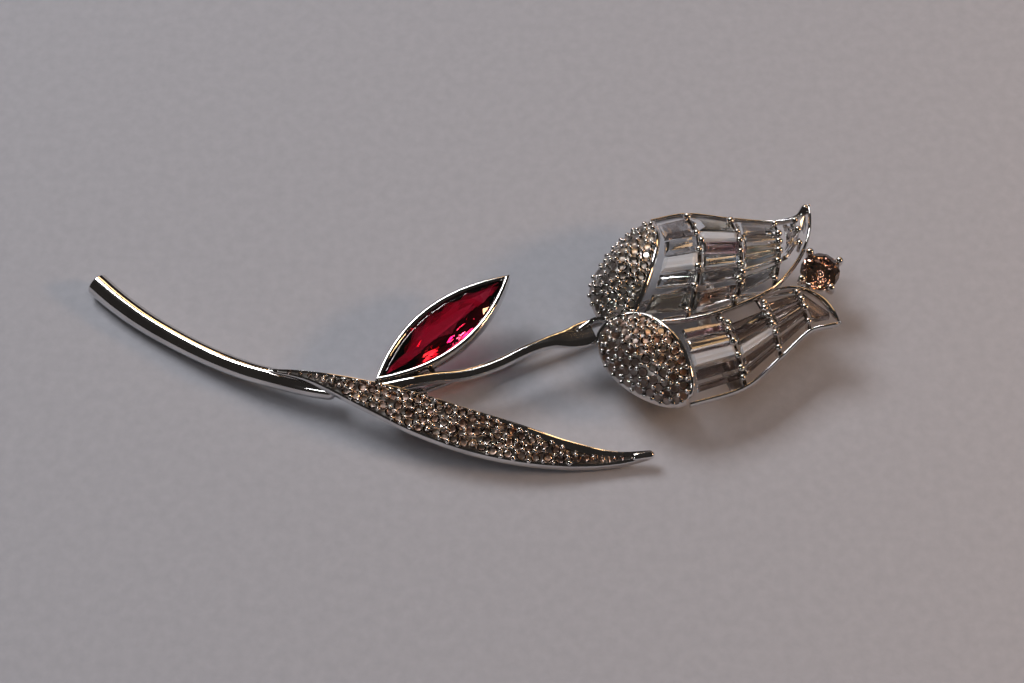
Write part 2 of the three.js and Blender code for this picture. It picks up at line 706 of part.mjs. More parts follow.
function pinStem() {
  const eye = new THREE.CylinderGeometry(KNUCKLE_RADIUS, KNUCKLE_RADIUS, KNUCKLE_WIDTH, 24);
  const bore = new THREE.CylinderGeometry(
    RIVET_RADIUS + RUNNING_GAP, RIVET_RADIUS + RUNNING_GAP, KNUCKLE_WIDTH + 1, 24,
  );
  const start = RIVET_RADIUS + RUNNING_GAP + 0.1;
  const needle = wrap(12, 5, (u, row) => {
    const x = [start, start, pinLength - PIN_POINT_LENGTH, pinLength - 0.3, pinLength, pinLength][row];
    const radius = [0, PIN_RADIUS, PIN_RADIUS, PIN_RADIUS * 0.3, PIN_RADIUS * 0.12, 0][row];
    const angle = u * Math.PI * 2;
    return new THREE.Vector3(x, radius * Math.cos(angle), radius * Math.sin(angle));
  });
  return cut(join(eye, needle), bore);
}

function hingeRivet() {
  const shank = new THREE.CylinderGeometry(RIVET_RADIUS, RIVET_RADIUS, 2 * earsOutside + 0.3, 24);
  const heads = [-1, 1].map((side) => {
    const head = new THREE.CylinderGeometry(RIVET_HEAD_RADIUS, RIVET_HEAD_RADIUS, RIVET_HEAD_THICKNESS, 16);
    return head.translate(0, side * (earsOutside + SEAT_GAP / 2 + RIVET_HEAD_THICKNESS / 2), 0);
  });
  return join(shank, ...heads);
}

// The soldered plate over the knuckle and the two ears that hold the rivet. A shallow relief over the knuckle
// parts the plate's underside into two flat feet, before and behind the ears.
function hingeBase() {
  const underside = KNUCKLE_RADIUS + SEAT_GAP;
  const plate = new THREE.BoxGeometry(HINGE_PLATE_LENGTH, 2 * earsOutside, HINGE_PLATE_THICKNESS);
  plate.translate(0, 0, underside + HINGE_PLATE_THICKNESS / 2);
  const relief = new THREE.BoxGeometry(2 * (EAR_RADIUS + SEAT_GAP), 3 * earsOutside, 2 * HINGE_RELIEF);
  relief.translate(0, 0, underside);
  const earTop = underside + HINGE_PLATE_THICKNESS / 2;
  const ears = [-1, 1].flatMap((side) => {
    const y = side * (earsInside + EAR_THICKNESS / 2);
    const web = new THREE.BoxGeometry(2 * EAR_RADIUS, EAR_THICKNESS, earTop);
    const round = new THREE.CylinderGeometry(EAR_RADIUS, EAR_RADIUS, EAR_THICKNESS, 24);
    return [web.translate(0, y, earTop / 2), round.translate(0, y, 0)];
  });
  const hole = new THREE.CylinderGeometry(
    RIVET_RADIUS + RUNNING_GAP, RIVET_RADIUS + RUNNING_GAP, 3 * earsOutside, 24,
  );
  return cut(join(cut(plate, relief), ...ears), hole);
}

const rollerInner = PIN_RADIUS + 2 * RUNNING_GAP;
const rollerOuter = rollerInner + ROLLER_WALL;
const housingInner = rollerOuter + RUNNING_GAP;
const housingOuter = housingInner + CATCH_WALL;
const slotWidth = 2 * (PIN_RADIUS + 2 * RUNNING_GAP);

// A slotted tube round the closed pin, its slot facing away from the front.
function slottedTube(inner, outer, length) {
  const slot = new THREE.BoxGeometry(length + 1, slotWidth, 2 * outer).translate(0, 0, -outer);
  return cut(cylinderAlongX(outer, length, 32), cylinderAlongX(inner, length + 1, 32), slot);
}

function catchBody() {
  const housing = slottedTube(housingInner, housingOuter, CATCH_LENGTH);
  const foot = new THREE.BoxGeometry(CATCH_LENGTH, 2 * housingInner, CATCH_WALL);
  return join(housing, foot.translate(0, 0, housingOuter - CATCH_WALL / 2));
}

// The roller turns in the housing; a thumb lever on its end shows which way its slot faces.
function safetyRoller() {
  const tube = slottedTube(rollerInner, rollerOuter, ROLLER_LENGTH);
  const lever = new THREE.BoxGeometry(LEVER_THICKNESS, LEVER_REACH - rollerInner, 2 * LEVER_THICKNESS);
  const x = CATCH_LENGTH / 2 + SEAT_GAP + LEVER_THICKNESS / 2;
  return join(tube, lever.translate(x, -(LEVER_REACH + rollerInner) / 2 - 0.05, 0));
}

// The flat bar under both petals that carries the catch.
const bridgeTop = PIN_HEIGHT + housingOuter + SEAT_GAP + BRIDGE_THICKNESS;
const bridgeLine = smooth([
  [22.4, 12, 0], [23.1, 5.8, 0], [23.6, -0.4, 0], [26.4, -7.8, 0],
]);

function catchBridge() {
  const geometry = bar(bridgeLine, 12, 8, () => [BRIDGE_WIDTH / 2, BRIDGE_THICKNESS / 2]);
  return geometry.translate(0, 0, bridgeTop - BRIDGE_THICKNESS / 2);
}

// The post starts at the bridge's side and ends under the pistil's setting.
function pistilPost() {
  const start = bridgeLine.getPoint(0.5);
  start.x += BRIDGE_WIDTH / 2 + SEAT_GAP;
  start.z = bridgeTop - BRIDGE_THICKNESS / 2;
  const middle = plan(29, 3.2, start.z - 0.1);
  const rise = plan(34.2, 4.6, 2.75);
  const end = plan(35.3, 5.1, 2.8);
  const line = new THREE.CatmullRomCurve3([start, middle, rise, end]);
  return bar(line, 12, 8, () => [POST_RADIUS, POST_RADIUS]);
}

// ---- assembly -----------------------------------------------------------------------------------

const rhodium = () => metal(0xc8c6c8, 0.12);
const steel = () => metal(0xb4b4b6, 0.28);
const clearStone = () => stone(0xe6e4e8);

addPiece('lower_stem', lowerStem(), rhodium());
addPiece('leaf_body', cut(leafBody(), lowerStem(SEAT_GAP)), rhodium());
addPiece('leaf_pave', leafPave(), clearStone());
addPiece('marquise_bezel', navetteBezel(), rhodium(), navette);
addPiece('marquise_stone', navetteStone(), stone(0xb01840), navette);
addPiece('bezel_strut', bezelStrut(), rhodium());

for (const [name, cup] of [['upper_cup', upperCup], ['lower_cup', lowerCup]]) {
  addPiece(`${name}_shell`, cupShell(cup), rhodium());
  addPiece(`${name}_pave`, cupPave(cup), clearStone());
}

// What a neighbour has to stay out of round a cup: its dome and rim grown by the seat gap.
function cupRoom(cup) {
  const reach = CUP_RIM_RADIUS + 2 * SEAT_GAP;
  return cupPlate(cup, -SEAT_GAP, 2 * reach + CUP_SHELL_DEPTH, -reach);
}

const upperRoom = cupRoom(upperCup);
const lowerRoom = cupRoom(lowerCup);
addPiece('upper_stem', cut(upperStem(), upperRoom, lowerRoom, bezelRoom()), rhodium());

const petals = [['upper', upperPetal, upperRows], ['lower', lowerPetal, lowerRows]];
for (const [name, petal, rows] of petals) {
  const rails = [1, 2, 3];
  addPiece(`${name}_petal_frame`, cut(petalFrame(petal, rails), upperRoom, lowerRoom), rhodium());
  const frameRoom = petalFrame(petal, rails, STONE_GAP);
  let number = 0;
  for (const { from, to, sides } of rows) {
    for (const [s0, s1] of sides) {
      number += 1;
      const label = String(number).padStart(2, '0');
      const cutting = cut(baguette(petal, from, to, s0, s1), upperRoom, lowerRoom, frameRoom);
      addPiece(`${name}_baguette_${label}`, cutting, clearStone());
    }
  }
}

addPiece('pistil_stone', pistilStone(), stone(0x8a5a4a), pistil);
addPiece('pistil_setting', pistilSetting(), rhodium(), pistil);
addPiece('pistil_post', pistilPost(), rhodium());

addPiece('pin_stem', pinStem(), steel(), pinFrame);
addPiece('hinge_rivet', hingeRivet(), steel(), pinFrame);
addPiece('hinge_base', hingeBase(), rhodium(), pinFrame);
const catchFrame = new THREE.Group();
catchFrame.position.x = catchDistance;
pinFrame.add(catchFrame);
addPiece('catch_body', catchBody(), rhodium(), catchFrame);
addPiece('safety_roller', safetyRoller(), steel(), catchFrame);
addPiece('catch_bridge', catchBridge(), rhodium());

// The origin is the middle of the footprint, on the surface that the brooch lies on.
group.updateMatrixWorld(true);
const box = new THREE.Box3().setFromObject(group, true);
group.position.set(-(box.min.x + box.max.x) / 2, -(box.min.y + box.max.y) / 2, -box.min.z);

export default group;
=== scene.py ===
"""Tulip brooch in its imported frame: polished rhodium plate, pave fields, step cut baguettes, a crimson
navette, a champagne pistil stone, and the pin and safety catch on its back."""
import json
import math
import random

import bmesh
import bpy
import numpy as np
from mathutils import Matrix, Vector
from mathutils.geometry import delaunay_2d_cdt


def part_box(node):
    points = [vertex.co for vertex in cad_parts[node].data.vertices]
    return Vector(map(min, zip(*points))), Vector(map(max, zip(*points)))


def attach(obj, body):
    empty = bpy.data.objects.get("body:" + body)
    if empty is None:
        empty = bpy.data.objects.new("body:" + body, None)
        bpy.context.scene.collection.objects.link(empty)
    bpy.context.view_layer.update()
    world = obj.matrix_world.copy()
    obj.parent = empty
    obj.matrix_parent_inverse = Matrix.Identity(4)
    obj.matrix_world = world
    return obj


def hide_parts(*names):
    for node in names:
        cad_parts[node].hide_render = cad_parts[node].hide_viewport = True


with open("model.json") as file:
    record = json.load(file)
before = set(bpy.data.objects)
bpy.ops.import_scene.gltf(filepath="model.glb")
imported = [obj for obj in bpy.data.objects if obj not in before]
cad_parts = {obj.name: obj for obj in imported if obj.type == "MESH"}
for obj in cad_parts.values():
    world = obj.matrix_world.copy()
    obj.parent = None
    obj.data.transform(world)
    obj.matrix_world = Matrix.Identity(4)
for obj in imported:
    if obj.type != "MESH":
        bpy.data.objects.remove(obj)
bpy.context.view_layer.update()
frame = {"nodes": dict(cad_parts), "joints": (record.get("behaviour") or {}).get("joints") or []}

# ---- the drawing frame ----
# Shapes are drawn in millimetres round the same points as the CAD. The hinge ties that drawing to the frame.

MM = 0.001
HINGE_SPOT = Vector((-6, -7.5, 1.65))
joints = {joint["name"]: joint for joint in frame["joints"]}
hinge_place = Vector(joints["pin_hinge"]["pos_m"])
catch_place = Vector(joints["roller_turn"]["pos_m"])
SHIFT = hinge_place / MM - HINGE_SPOT
DRAWING = Matrix.Scale(MM, 4) @ Matrix.Translation(SHIFT)
CATCH_DISTANCE = (catch_place - hinge_place).length / MM
PIN_ANGLE = math.atan2(catch_place.y - hinge_place.y, catch_place.x - hinge_place.x)
PIN_FRAME = DRAWING @ Matrix.Translation(HINGE_SPOT) @ Matrix.Rotation(PIN_ANGLE, 4, "Z")
CATCH_FRAME = PIN_FRAME @ Matrix.Translation((CATCH_DISTANCE, 0, 0))
NAVETTE_FRAME = (DRAWING @ Matrix.Translation((-2.25, -1.5, 5.15)) @ Matrix.Rotation(0.73, 4, "Z")
    @ Matrix.Rotation(-0.055, 4, "Y"))
PISTIL_FRAME = DRAWING @ Matrix.Translation((35.1, 5.05, 5.1)) @ Matrix.Rotation(0.2, 4, "X")
UP = Vector((0, 0, 1))

# ---- sizes in millimetres ----

SEAT_GAP = 0.1
LOWER_STEM_RADIUS = 0.98
STEM_END_RADIUS = 1.2
UPPER_STEM_RADIUS = 0.6
FLARE_WIDTH = 1.428
FLARE_HEIGHT = 0.65
LEAF_THICKNESS = 0.9
LEAF_RIM = 0.32
LEAF_BAND = 0.85
BED_DEPTH = 0.35
NAVETTE_LENGTH = 15.7
NAVETTE_WIDTH = 4.5
PETAL_RIM_HALF_WIDTH = 0.2
PETAL_RIM_HALF_HEIGHT = 0.42
PETAL_RIM_RADIUS = 0.4
RAIL_RADIUS = 0.2
RAIL_DROP = 0.75
PETAL_CROWN = 0.38
CUP_RIM_HALF_WIDTH = 0.3
CUP_RIM_HALF_HEIGHT = 0.42
PISTIL_RADIUS = 2.0
STREAK_RISE = 0.035
PAVE_STONE_RADIUS = 0.5
PAVE_GAP = 0.1
PAVE_PITCH = 2 * PAVE_STONE_RADIUS + PAVE_GAP
PAVE_BEAD_RADIUS = 0.25
PAVE_BEAD_LIFT = 0.1
PETAL_BEAD_RADIUS = 0.4
PETAL_BEAD_LIFT = 0.42


def lerp(a, b, share):
    return a + (b - a) * share


def smoothstep(x, low, high):
    share = min(1.0, max(0.0, (x - low) / (high - low)))
    return share * share * (3 - 2 * share)


# ---- curves ----

def cubic(p0, p1, p2, p3, share):
    """A centripetal Catmull-Rom span from p1 to p2."""
    steps = [max(1e-4, (b - a).length ** 0.5) for a, b in ((p0, p1), (p1, p2), (p2, p3))]
    start = (p1 - p0) / steps[0] - (p2 - p0) / (steps[0] + steps[1]) + (p2 - p1) / steps[1]
    end = (p2 - p1) / steps[1] - (p3 - p1) / (steps[1] + steps[2]) + (p3 - p2) / steps[2]
    start *= steps[1]
    end *= steps[1]
    c2 = 3 * (p2 - p1) - 2 * start - end
    c3 = 2 * (p1 - p2) + start + end
    return p1 + start * share + c2 * share ** 2 + c3 * share ** 3


def spline(rows, closed=False):
    """A smooth curve through the rows, as a function of the share of the way along it."""
    points = [Vector(row) for row in rows]
    count = len(points)

    def at(share):
        place = share * (count if closed else count - 1)
        if closed:
            place %= count
        index = min(int(place), count - 1 if closed else count - 2)
        part = place - index
        if closed:
            return cubic(*(points[(index + k) % count] for k in (-1, 0, 1, 2)), part)
        before = points[index - 1] if index else 2 * points[0] - points[1]
        after = points[index + 2] if index + 2 < count else 2 * points[-1] - points[-2]
        return cubic(before, points[index], points[index + 1], after, part)

    return at


def sample(curve, steps, start=0.0, end=1.0):
    return [curve(lerp(start, end, i / steps)) for i in range(steps + 1)]


def slope(curve, share, step=1e-3):
    return (curve(min(1, share + step)) - curve(max(0, share - step))).normalized()


# ---- meshes ----

class Shape:
    """Vertices and faces gathered from several forms, in millimetres."""

    def __init__(self):
        self.points = []
        self.faces = []
        self.tones = []

    def add(self, points, faces, chance=None):
        """With a source of chance, each facet gets a random pick of its own, which the crystal materials turn
        into painted reflections and fire.
        """
        base = len(self.points)
        self.points += [Vector(p) for p in points]
        self.faces += [tuple(base + i for i in face) for face in faces]
        self.tones += [chance.random() if chance else 0.0 for _ in faces]
        return self


def grid_faces(rings, around, closed_rings=False, caps=True):
    faces = []
    for ring in range(rings if closed_rings else rings - 1):
        for k in range(around):
            a = ring * around + k
            b = ring * around + (k + 1) % around
            c = ((ring + 1) % rings) * around + (k + 1) % around
            d = ((ring + 1) % rings) * around + k
            faces.append((a, b, c, d))
    if caps and not closed_rings:
        faces.append(tuple(reversed(range(around))))
        faces.append(tuple((rings - 1) * around + k for k in range(around)))
    return faces


def upright_axes(path, i, closed):
    count = len(path)
    if closed:
        ahead = path[(i + 1) % count] - path[i - 1]
    else:
        ahead = path[min(i + 1, count - 1)] - path[max(i - 1, 0)]
    side = UP.cross(ahead).normalized()
    return side, ahead.cross(side).normalized()


def sweep(path, section, closed=False):
    """A section, given for each point of the path as (across, up) pairs, carried along it."""
    points = []
    around = 0
    for i, centre in enumerate(path):
        side, up = upright_axes(path, i, closed)
        ring = section(i)
        around = len(ring)
        points += [centre + side * across + up * height for across, height in ring]
    return points, grid_faces(len(path), around, closed)


def ellipse(half_width, half_height, sides=20):
    angles = [2 * math.pi * k / sides for k in range(sides)]
    return [(half_width * math.cos(a), half_height * math.sin(a)) for a in angles]


def tube(path, radius, sides=20):
    """A round wire with rounded ends. It may run in any direction."""
    steps = 5
    start = (path[0] - path[1]).normalized()
    end = (path[-1] - path[-2]).normalized()
    turns = [math.pi / 2 * k / steps for k in range(steps)]
    line = [path[0] + start * radius * math.cos(a) for a in turns]
    radii = [radius * max(0.02, math.sin(a)) for a in turns]
    line += path
    radii += [radius] * len(path)
    line += [path[-1] + end * radius * math.cos(a) for a in reversed(turns)]
    radii += [radius * max(0.02, math.sin(a)) for a in reversed(turns)]
    points = []
    side = start.orthogonal().normalized()
    for i, centre in enumerate(line):
        ahead = (line[min(i + 1, len(line) - 1)] - line[max(i - 1, 0)]).normalized()
        side = (side - ahead * side.dot(ahead)).normalized()
        up = ahead.cross(side)
        for across, height in ellipse(radii[i], radii[i], sides):
            points.append(centre + side * across + up * height)
    return points, grid_faces(len(line), sides)


def lathe(profile, sides=40, along="Z"):
    """A profile of (radius, height) pairs turned round an axis. It is a ring where it ends as it starts."""
    looped = profile[0] == profile[-1]
    rings = profile[:-1] if looped else profile
    points = []
    for radius, height in rings:
        for k in range(sides):
            a = 2 * math.pi * k / sides
            x, y = radius * math.cos(a), radius * math.sin(a)
            points.append({"Z": (x, y, height), "Y": (x, height, y), "X": (height, x, y)}[along])
    return points, grid_faces(len(rings), sides, looped)


def extrude(outline, low, high):
    """An outline of (x, y) pairs, made solid from low to high along Z."""
    points = [(x, y, z) for z in (low, high) for x, y in outline]
    return points, grid_faces(2, len(outline))


def rectangle(half_length, half_width):
    return [(x * half_length, y * half_width) for x, y in ((-1, -1), (1, -1), (1, 1), (-1, 1))]


def hull(points):
    """The flat facets of the convex hull of some points."""
    work = bmesh.new()
    for p in points:
        work.verts.new(Vector(p))
    result = bmesh.ops.convex_hull(work, input=work.verts)
    loose = [e for e in result["geom_interior"] + result["geom_unused"] if isinstance(e, bmesh.types.BMVert)]
    bmesh.ops.delete(work, geom=list(set(loose)), context="VERTS")
    bmesh.ops.dissolve_limit(work, angle_limit=math.radians(1.5), verts=work.verts, edges=work.edges)
    work.verts.index_update()
    corners = [v.co.copy() for v in work.verts]
    faces = [tuple(v.index for v in face.verts) for face in work.faces]
    work.free()
    return corners, faces


def ball(radius, flat=1.0, sides=14, rings=8):
    """A bead, its height flattened by a share."""
    turns = [math.pi * k / rings for k in range(rings + 1)]
    return lathe([(radius * max(0.01, math.sin(a)), -radius * flat * math.cos(a)) for a in turns], sides)


def moved(form, matrix):
    points, faces = form
    return [matrix @ Vector(p) for p in points], faces


def linked(name, data):
    made = bpy.data.objects.new(name, data)
    bpy.context.scene.collection.objects.link(made)
    return made


def piece(name, shape, material, body="root", frame_of=DRAWING, smooth=40, bevel=0.0,
        stands_for=()):
    """A finished mesh that rides on its body, and stands for the CAD nodes it replaces."""
    mesh = bpy.data.meshes.new(name)
    mesh.from_pydata([frame_of @ p for p in shape.points], [], shape.faces)
    mesh.validate()
    # A random pick for each face, which the crystal materials turn into painted reflections and fire.
    tones = mesh.attributes.new("facet_glint_pick", "FLOAT", "FACE")
    tones.data.foreach_set("value", shape.tones)
    work = bmesh.new()
    work.from_mesh(mesh)
    bmesh.ops.recalc_face_normals(work, faces=work.faces)
    if bevel:
        sharp = [e for e in work.edges if len(e.link_faces) == 2 and e.calc_face_angle() > math.radians(35)]
        bmesh.ops.bevel(work, geom=sharp, offset=bevel * MM, segments=3, profile=0.6, affect="EDGES")
    work.to_mesh(mesh)
    work.free()
    mesh.materials.append(material)
    if smooth:
        mesh.shade_smooth()
        mesh.set_sharp_from_angle(angle=math.radians(smooth))
    made = linked(name, mesh)
    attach(made, body)
    if stands_for:
        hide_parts(*stands_for)
    return made


# ---- materials ----

def start_material(name):
    material = bpy.data.materials.new(name)
    material.use_nodes = True
    tree = material.node_tree
    shader = tree.nodes["Principled BSDF"]
    return material, tree, shader


def fill_in(node, values):
    for key, value in values.items():
        node.inputs[key].default_value = value


def noise(tree, scale, detail=3.0, stretch=(1, 1, 1)):
    """A noise pattern in the frame's own coordinates. Its scale is in features to the metre."""
    place = tree.nodes.new("ShaderNodeTexCoord")
    mapping = tree.nodes.new("ShaderNodeMapping")
    fill_in(mapping, {"Scale": stretch})
    pattern = tree.nodes.new("ShaderNodeTexNoise")
    fill_in(pattern, {"Scale": scale, "Detail": detail})
    tree.links.new(place.outputs["Object"], mapping.inputs["Vector"])
    tree.links.new(mapping.outputs["Vector"], pattern.inputs["Vector"])
    return pattern


def ramp(tree, source, stops):
    """Colours picked by a value: stops are (value, colour)."""
    node = tree.nodes.new("ShaderNodeValToRGB")
    elements = node.color_ramp.elements
    while len(elements) < len(stops):
        elements.new(0.5)
    for element, (value, colour) in zip(elements, stops):
        element.position = value
        element.color = (*colour, 1)
    tree.links.new(source, node.inputs["Fac"])
    return node


def remap(tree, source, low, high):
    node = tree.nodes.new("ShaderNodeMapRange")
    fill_in(node, {"To Min": low, "To Max": high})
    tree.links.new(source, node.inputs["Value"])
    return node.outputs["Result"]


def bump(tree, shader, source, strength, distance):
    node = tree.nodes.new("ShaderNodeBump")
    fill_in(node, {"Strength": strength, "Distance": distance})
    tree.links.new(source, node.inputs["Height"])
    tree.links.new(node.outputs["Normal"], shader.inputs["Normal"])


def metal(name, light, dark, low_roughness, high_roughness, grain=(1, 1, 1), bump_strength=0.12):
    """Plated metal: slightly uneven colour, a polish that varies, and the finest polishing marks."""
    material, tree, shader = start_material(name)
    fill_in(shader, {"Metallic": 1.0})
    clouds = noise(tree, 420, 4.0)
    colour = ramp(tree, clouds.outputs["Fac"], [(0.3, dark), (0.62, light)])
    tree.links.new(colour.outputs["Color"], shader.inputs["Base Color"])
    haze = noise(tree, 1900, 5.0, grain)
    tree.links.new(remap(tree, haze.outputs["Fac"], low_roughness, high_roughness),
        shader.inputs["Roughness"])
    marks = noise(tree, 5200, 2.0, grain)
    bump(tree, shader, marks.outputs["Fac"], bump_strength, 4e-6)
    return material


def crystal(name, tints, ior, clear=1.0):
    """Cut stone: clear or a little milky. Each facet takes one of the tints by its random pick: the stone's
    own colour where it has one, and painted reflections and fire as darker, lighter and coloured facets.
    """
    material, tree, shader = start_material(name)
    fill_in(shader, {"Transmission Weight": clear, "IOR": ior, "Roughness": 0.0})
    tone = tree.nodes.new("ShaderNodeAttribute")
    tone.attribute_name = "facet_glint_pick"
    stops = [(i / (len(tints) - 1), tint) for i, tint in enumerate(tints)]
    colour = ramp(tree, tone.outputs["Fac"], stops)
    tree.links.new(colour.outputs["Color"], shader.inputs["Base Color"])
    return material


RHODIUM = metal("rhodium_mirror", (0.74, 0.72, 0.71), (0.58, 0.56, 0.55), 0.04, 0.12)
# Rougher rhodium for the stone seats, the leaf's tray sheet and the back bar. Its darker, warmer colour is
# painted shade between and under the stones.
SHADE_DARKENED_METAL = metal("rhodium_bed", (0.72, 0.67, 0.64), (0.42, 0.37, 0.34), 0.25, 0.42)
STEEL = metal("drawn_steel", (0.68, 0.68, 0.69), (0.5, 0.5, 0.52), 0.16, 0.32, (0.06, 1, 1), 0.2)
# Near-black rhodium for the rails under the petal stones and the link under the navette: painted shade,
# standing in for the shadow those parts lie in.
PAINTED_SHADE = metal("painted_shade_rhodium", (0.16, 0.145, 0.135), (0.08, 0.07, 0.065), 0.15, 0.3)
# Pave tints are painted light: dark, white and coloured facets stand in for the reflections and fire of the
# stones. The upper cup's set paints silver reflections, and the set for the leaf and lower cup paints warm
# brown ones.
SILVER_GLINT_PAVE = crystal("cool_pave_stones", [(0.3, 0.27, 0.26), (1.0, 1.0, 1.0), (0.72, 0.69, 0.69),
    (1.0, 1.0, 1.0), (0.5, 0.46, 0.45), (1.0, 0.97, 0.94), (0.9, 0.94, 1.0), (1.0, 0.66, 0.36)], 1.8)
WARM_GLINT_PAVE = crystal("warm_pave_stones", [(0.22, 0.14, 0.12), (0.98, 0.9, 0.87), (0.66, 0.5, 0.45),
    (1.0, 0.97, 0.95), (0.4, 0.27, 0.23), (0.97, 0.8, 0.72), (0.8, 0.52, 0.44), (1.0, 0.52, 0.27)], 1.8)
PAVE = {"upper_cup_pave": SILVER_GLINT_PAVE, "leaf_pave": WARM_GLINT_PAVE, "lower_cup_pave": WARM_GLINT_PAVE}
# The crimson and champagne are the stones' own colours. Their lighter and darker facets are painted
# reflections, and the champagne stone's orange facet is painted fire.
CRIMSON = crystal("crimson_stone", [(0.3, 0.0, 0.01), (0.82, 0.01, 0.05), (0.5, 0.0, 0.02),
    (0.95, 0.08, 0.16), (0.3, 0.0, 0.01), (0.85, 0.02, 0.08)], 1.76)
CHAMPAGNE = crystal("champagne_stone", [(0.62, 0.3, 0.2), (0.86, 0.52, 0.4), (0.5, 0.24, 0.16),
    (0.95, 0.66, 0.5), (0.7, 0.36, 0.24), (0.98, 0.5, 0.2)], 2.1)
# Tints of the baguettes, all painted light: the clear and warm sets paint reflections as darker and lighter
# facets, the near-white set paints the window's reflection, the darkest set paints the shade under the lower
# petal, and the cyan, pink, orange and green sets paint flashes of fire.
CLEAR_GLINT_TINTS = {
    "clear": [(0.34, 0.3, 0.28), (0.95, 0.95, 0.96), (0.56, 0.52, 0.5), (1.0, 1.0, 1.0), (0.7, 0.67, 0.64)],
    "glint_white": [(0.92, 0.93, 0.95), (1.0, 1.0, 1.0), (0.96, 0.97, 1.0)],
    "warm": [(0.72, 0.64, 0.54), (1.0, 0.95, 0.76), (0.86, 0.8, 0.72), (1.0, 0.97, 0.88)],
    "shade_darkened": [(0.2, 0.15, 0.13), (0.55, 0.47, 0.44), (0.3, 0.24, 0.22), (0.84, 0.78, 0.76),
        (0.38, 0.31, 0.28)],
    "cool": [(0.7, 0.78, 0.92), (0.98, 1.0, 1.0), (0.55, 0.82, 0.96), (1.0, 0.98, 0.96), (0.98, 0.78, 0.56)],
    "pink_fire": [(0.6, 0.42, 0.42), (0.94, 0.82, 0.84), (0.8, 0.4, 0.48), (0.9, 0.84, 0.84)],
    "orange_fire": [(0.96, 0.42, 0.22), (0.9, 0.84, 0.8), (0.7, 0.6, 0.56), (0.98, 0.94, 0.92)],
    "green_fire": [(0.4, 0.9, 0.55), (0.9, 0.88, 0.86), (0.98, 0.7, 0.4), (0.84, 0.84, 0.84)],
}
# The near-white set is half milky, so those stones show as lit white: a painted highlight.
CLEAR = {key: crystal(f"{key}_baguette", tints, 1.9, 0.5 if key == "glint_white" else 1.0)
    for key, tints in CLEAR_GLINT_TINTS.items()}


# ---- stems ----

lower_stem_line = spline([(-37.4, 6.1, 1.25), (-35.3, 4.1, 1.25), (-32.4, 1.75, 1.25), (-28.9, -0.6, 1.35),
    (-25.3, -2.75, 1.6), (-21.8, -4.5, 1.95), (-19, -5.55, 2.2), (-15.7, -6.6, 2.4), (-12.5, -7.2, 2.4)])
upper_stem_line = spline([(-8.2, -7.6, 3.75), (-5.4, -7.05, 3.95), (-3, -6.6, 3.95), (0, -6.25, 4.0),
    (3, -5.2, 4.1), (6, -3.6, 4.2), (8.5, -2.65, 4.3), (10.4, -2.25, 4.3), (12.4, -1.5, 4.3)])


def lower_stem():
    """A round rod, sawn square at its free end with a filed edge, and rounded under the leaf."""
    edge = 0.14
    steps = 150
    path = sample(lower_stem_line, steps)
    radii = [lerp(STEM_END_RADIUS, LOWER_STEM_RADIUS, smoothstep(i / steps, 0, 0.55))
        for i in range(steps + 1)]
    start = (path[0] - path[1]).normalized()
    path = [path[0] - start * 0.001, path[0] - start * edge * 0.5] + [path[0] - start * edge] + path[1:]
    radii = [STEM_END_RADIUS - edge, STEM_END_RADIUS - 0.3 * edge] + radii
    for k in range(6):
        radii[-1 - k] = LOWER_STEM_RADIUS * math.sqrt(1 - ((5 - k) / 5.2) ** 2)
    shape = Shape().add(*sweep(path, lambda i: ellipse(radii[i], radii[i], 36)))
    piece("stem_rod", shape, RHODIUM, stands_for=["lower_stem"])


def upper_stem():
    """A round wire that swells into a fan, flattened on top, where it meets the flower."""
    steps = 110

    def section(i):
        flare = smoothstep(i / steps, 0.6, 0.97)
        width = lerp(UPPER_STEM_RADIUS, FLARE_WIDTH, flare ** 1.8)
        height = lerp(UPPER_STEM_RADIUS, FLARE_HEIGHT, flare)
        ring = []
        for across, up in ellipse(width, height, 40):
            flat = (1 - 0.38 * flare) * height
            ring.append((across, min(up, flat - 0.12 * across * flare)))
        return ring

    shape = Shape().add(*sweep(sample(upper_stem_line, steps), section))
    prong = spline([(11.0, -1.5, 4.5), (12.6, -0.6, 5.0), (13.7, -0.9, 5.6)])
    shape.add(*tube(sample(prong, 12), 0.3))
    piece("stem_wire", shape, RHODIUM, stands_for=["upper_stem"])


# ---- long leaf ----

leaf_near = spline([(-19.3, -5.6, 3.6), (-15.5, -6.9, 4.1), (-10, -9.9, 4.0), (-5, -12.4, 3.5),
    (0, -14.1, 2.9), (5, -15, 2.25), (10, -15.15, 1.6), (14.5, -14.75, 1.3), (17.8, -14.1, 1.5)])
leaf_far = spline([(-19.2, -5.35, 3.6), (-15.5, -6.0, 4.4), (-10, -7.1, 4.6), (-5, -8.3, 4.3), (0, -9.8, 3.8),
    (5, -11.1, 3.05), (10, -12.65, 2.3), (14.5, -13.5, 1.75), (17.9, -13.4, 1.75)])


def leaf_widths(t):
    """The width of the leaf, of its near rim and of its far band."""
    width = (leaf_far(t) - leaf_near(t)).length
    band = lerp(LEAF_RIM, LEAF_BAND, smoothstep(t, 0.5, 0.75))
    return width, min(0.3 * width, LEAF_RIM), min(0.4 * width, band)


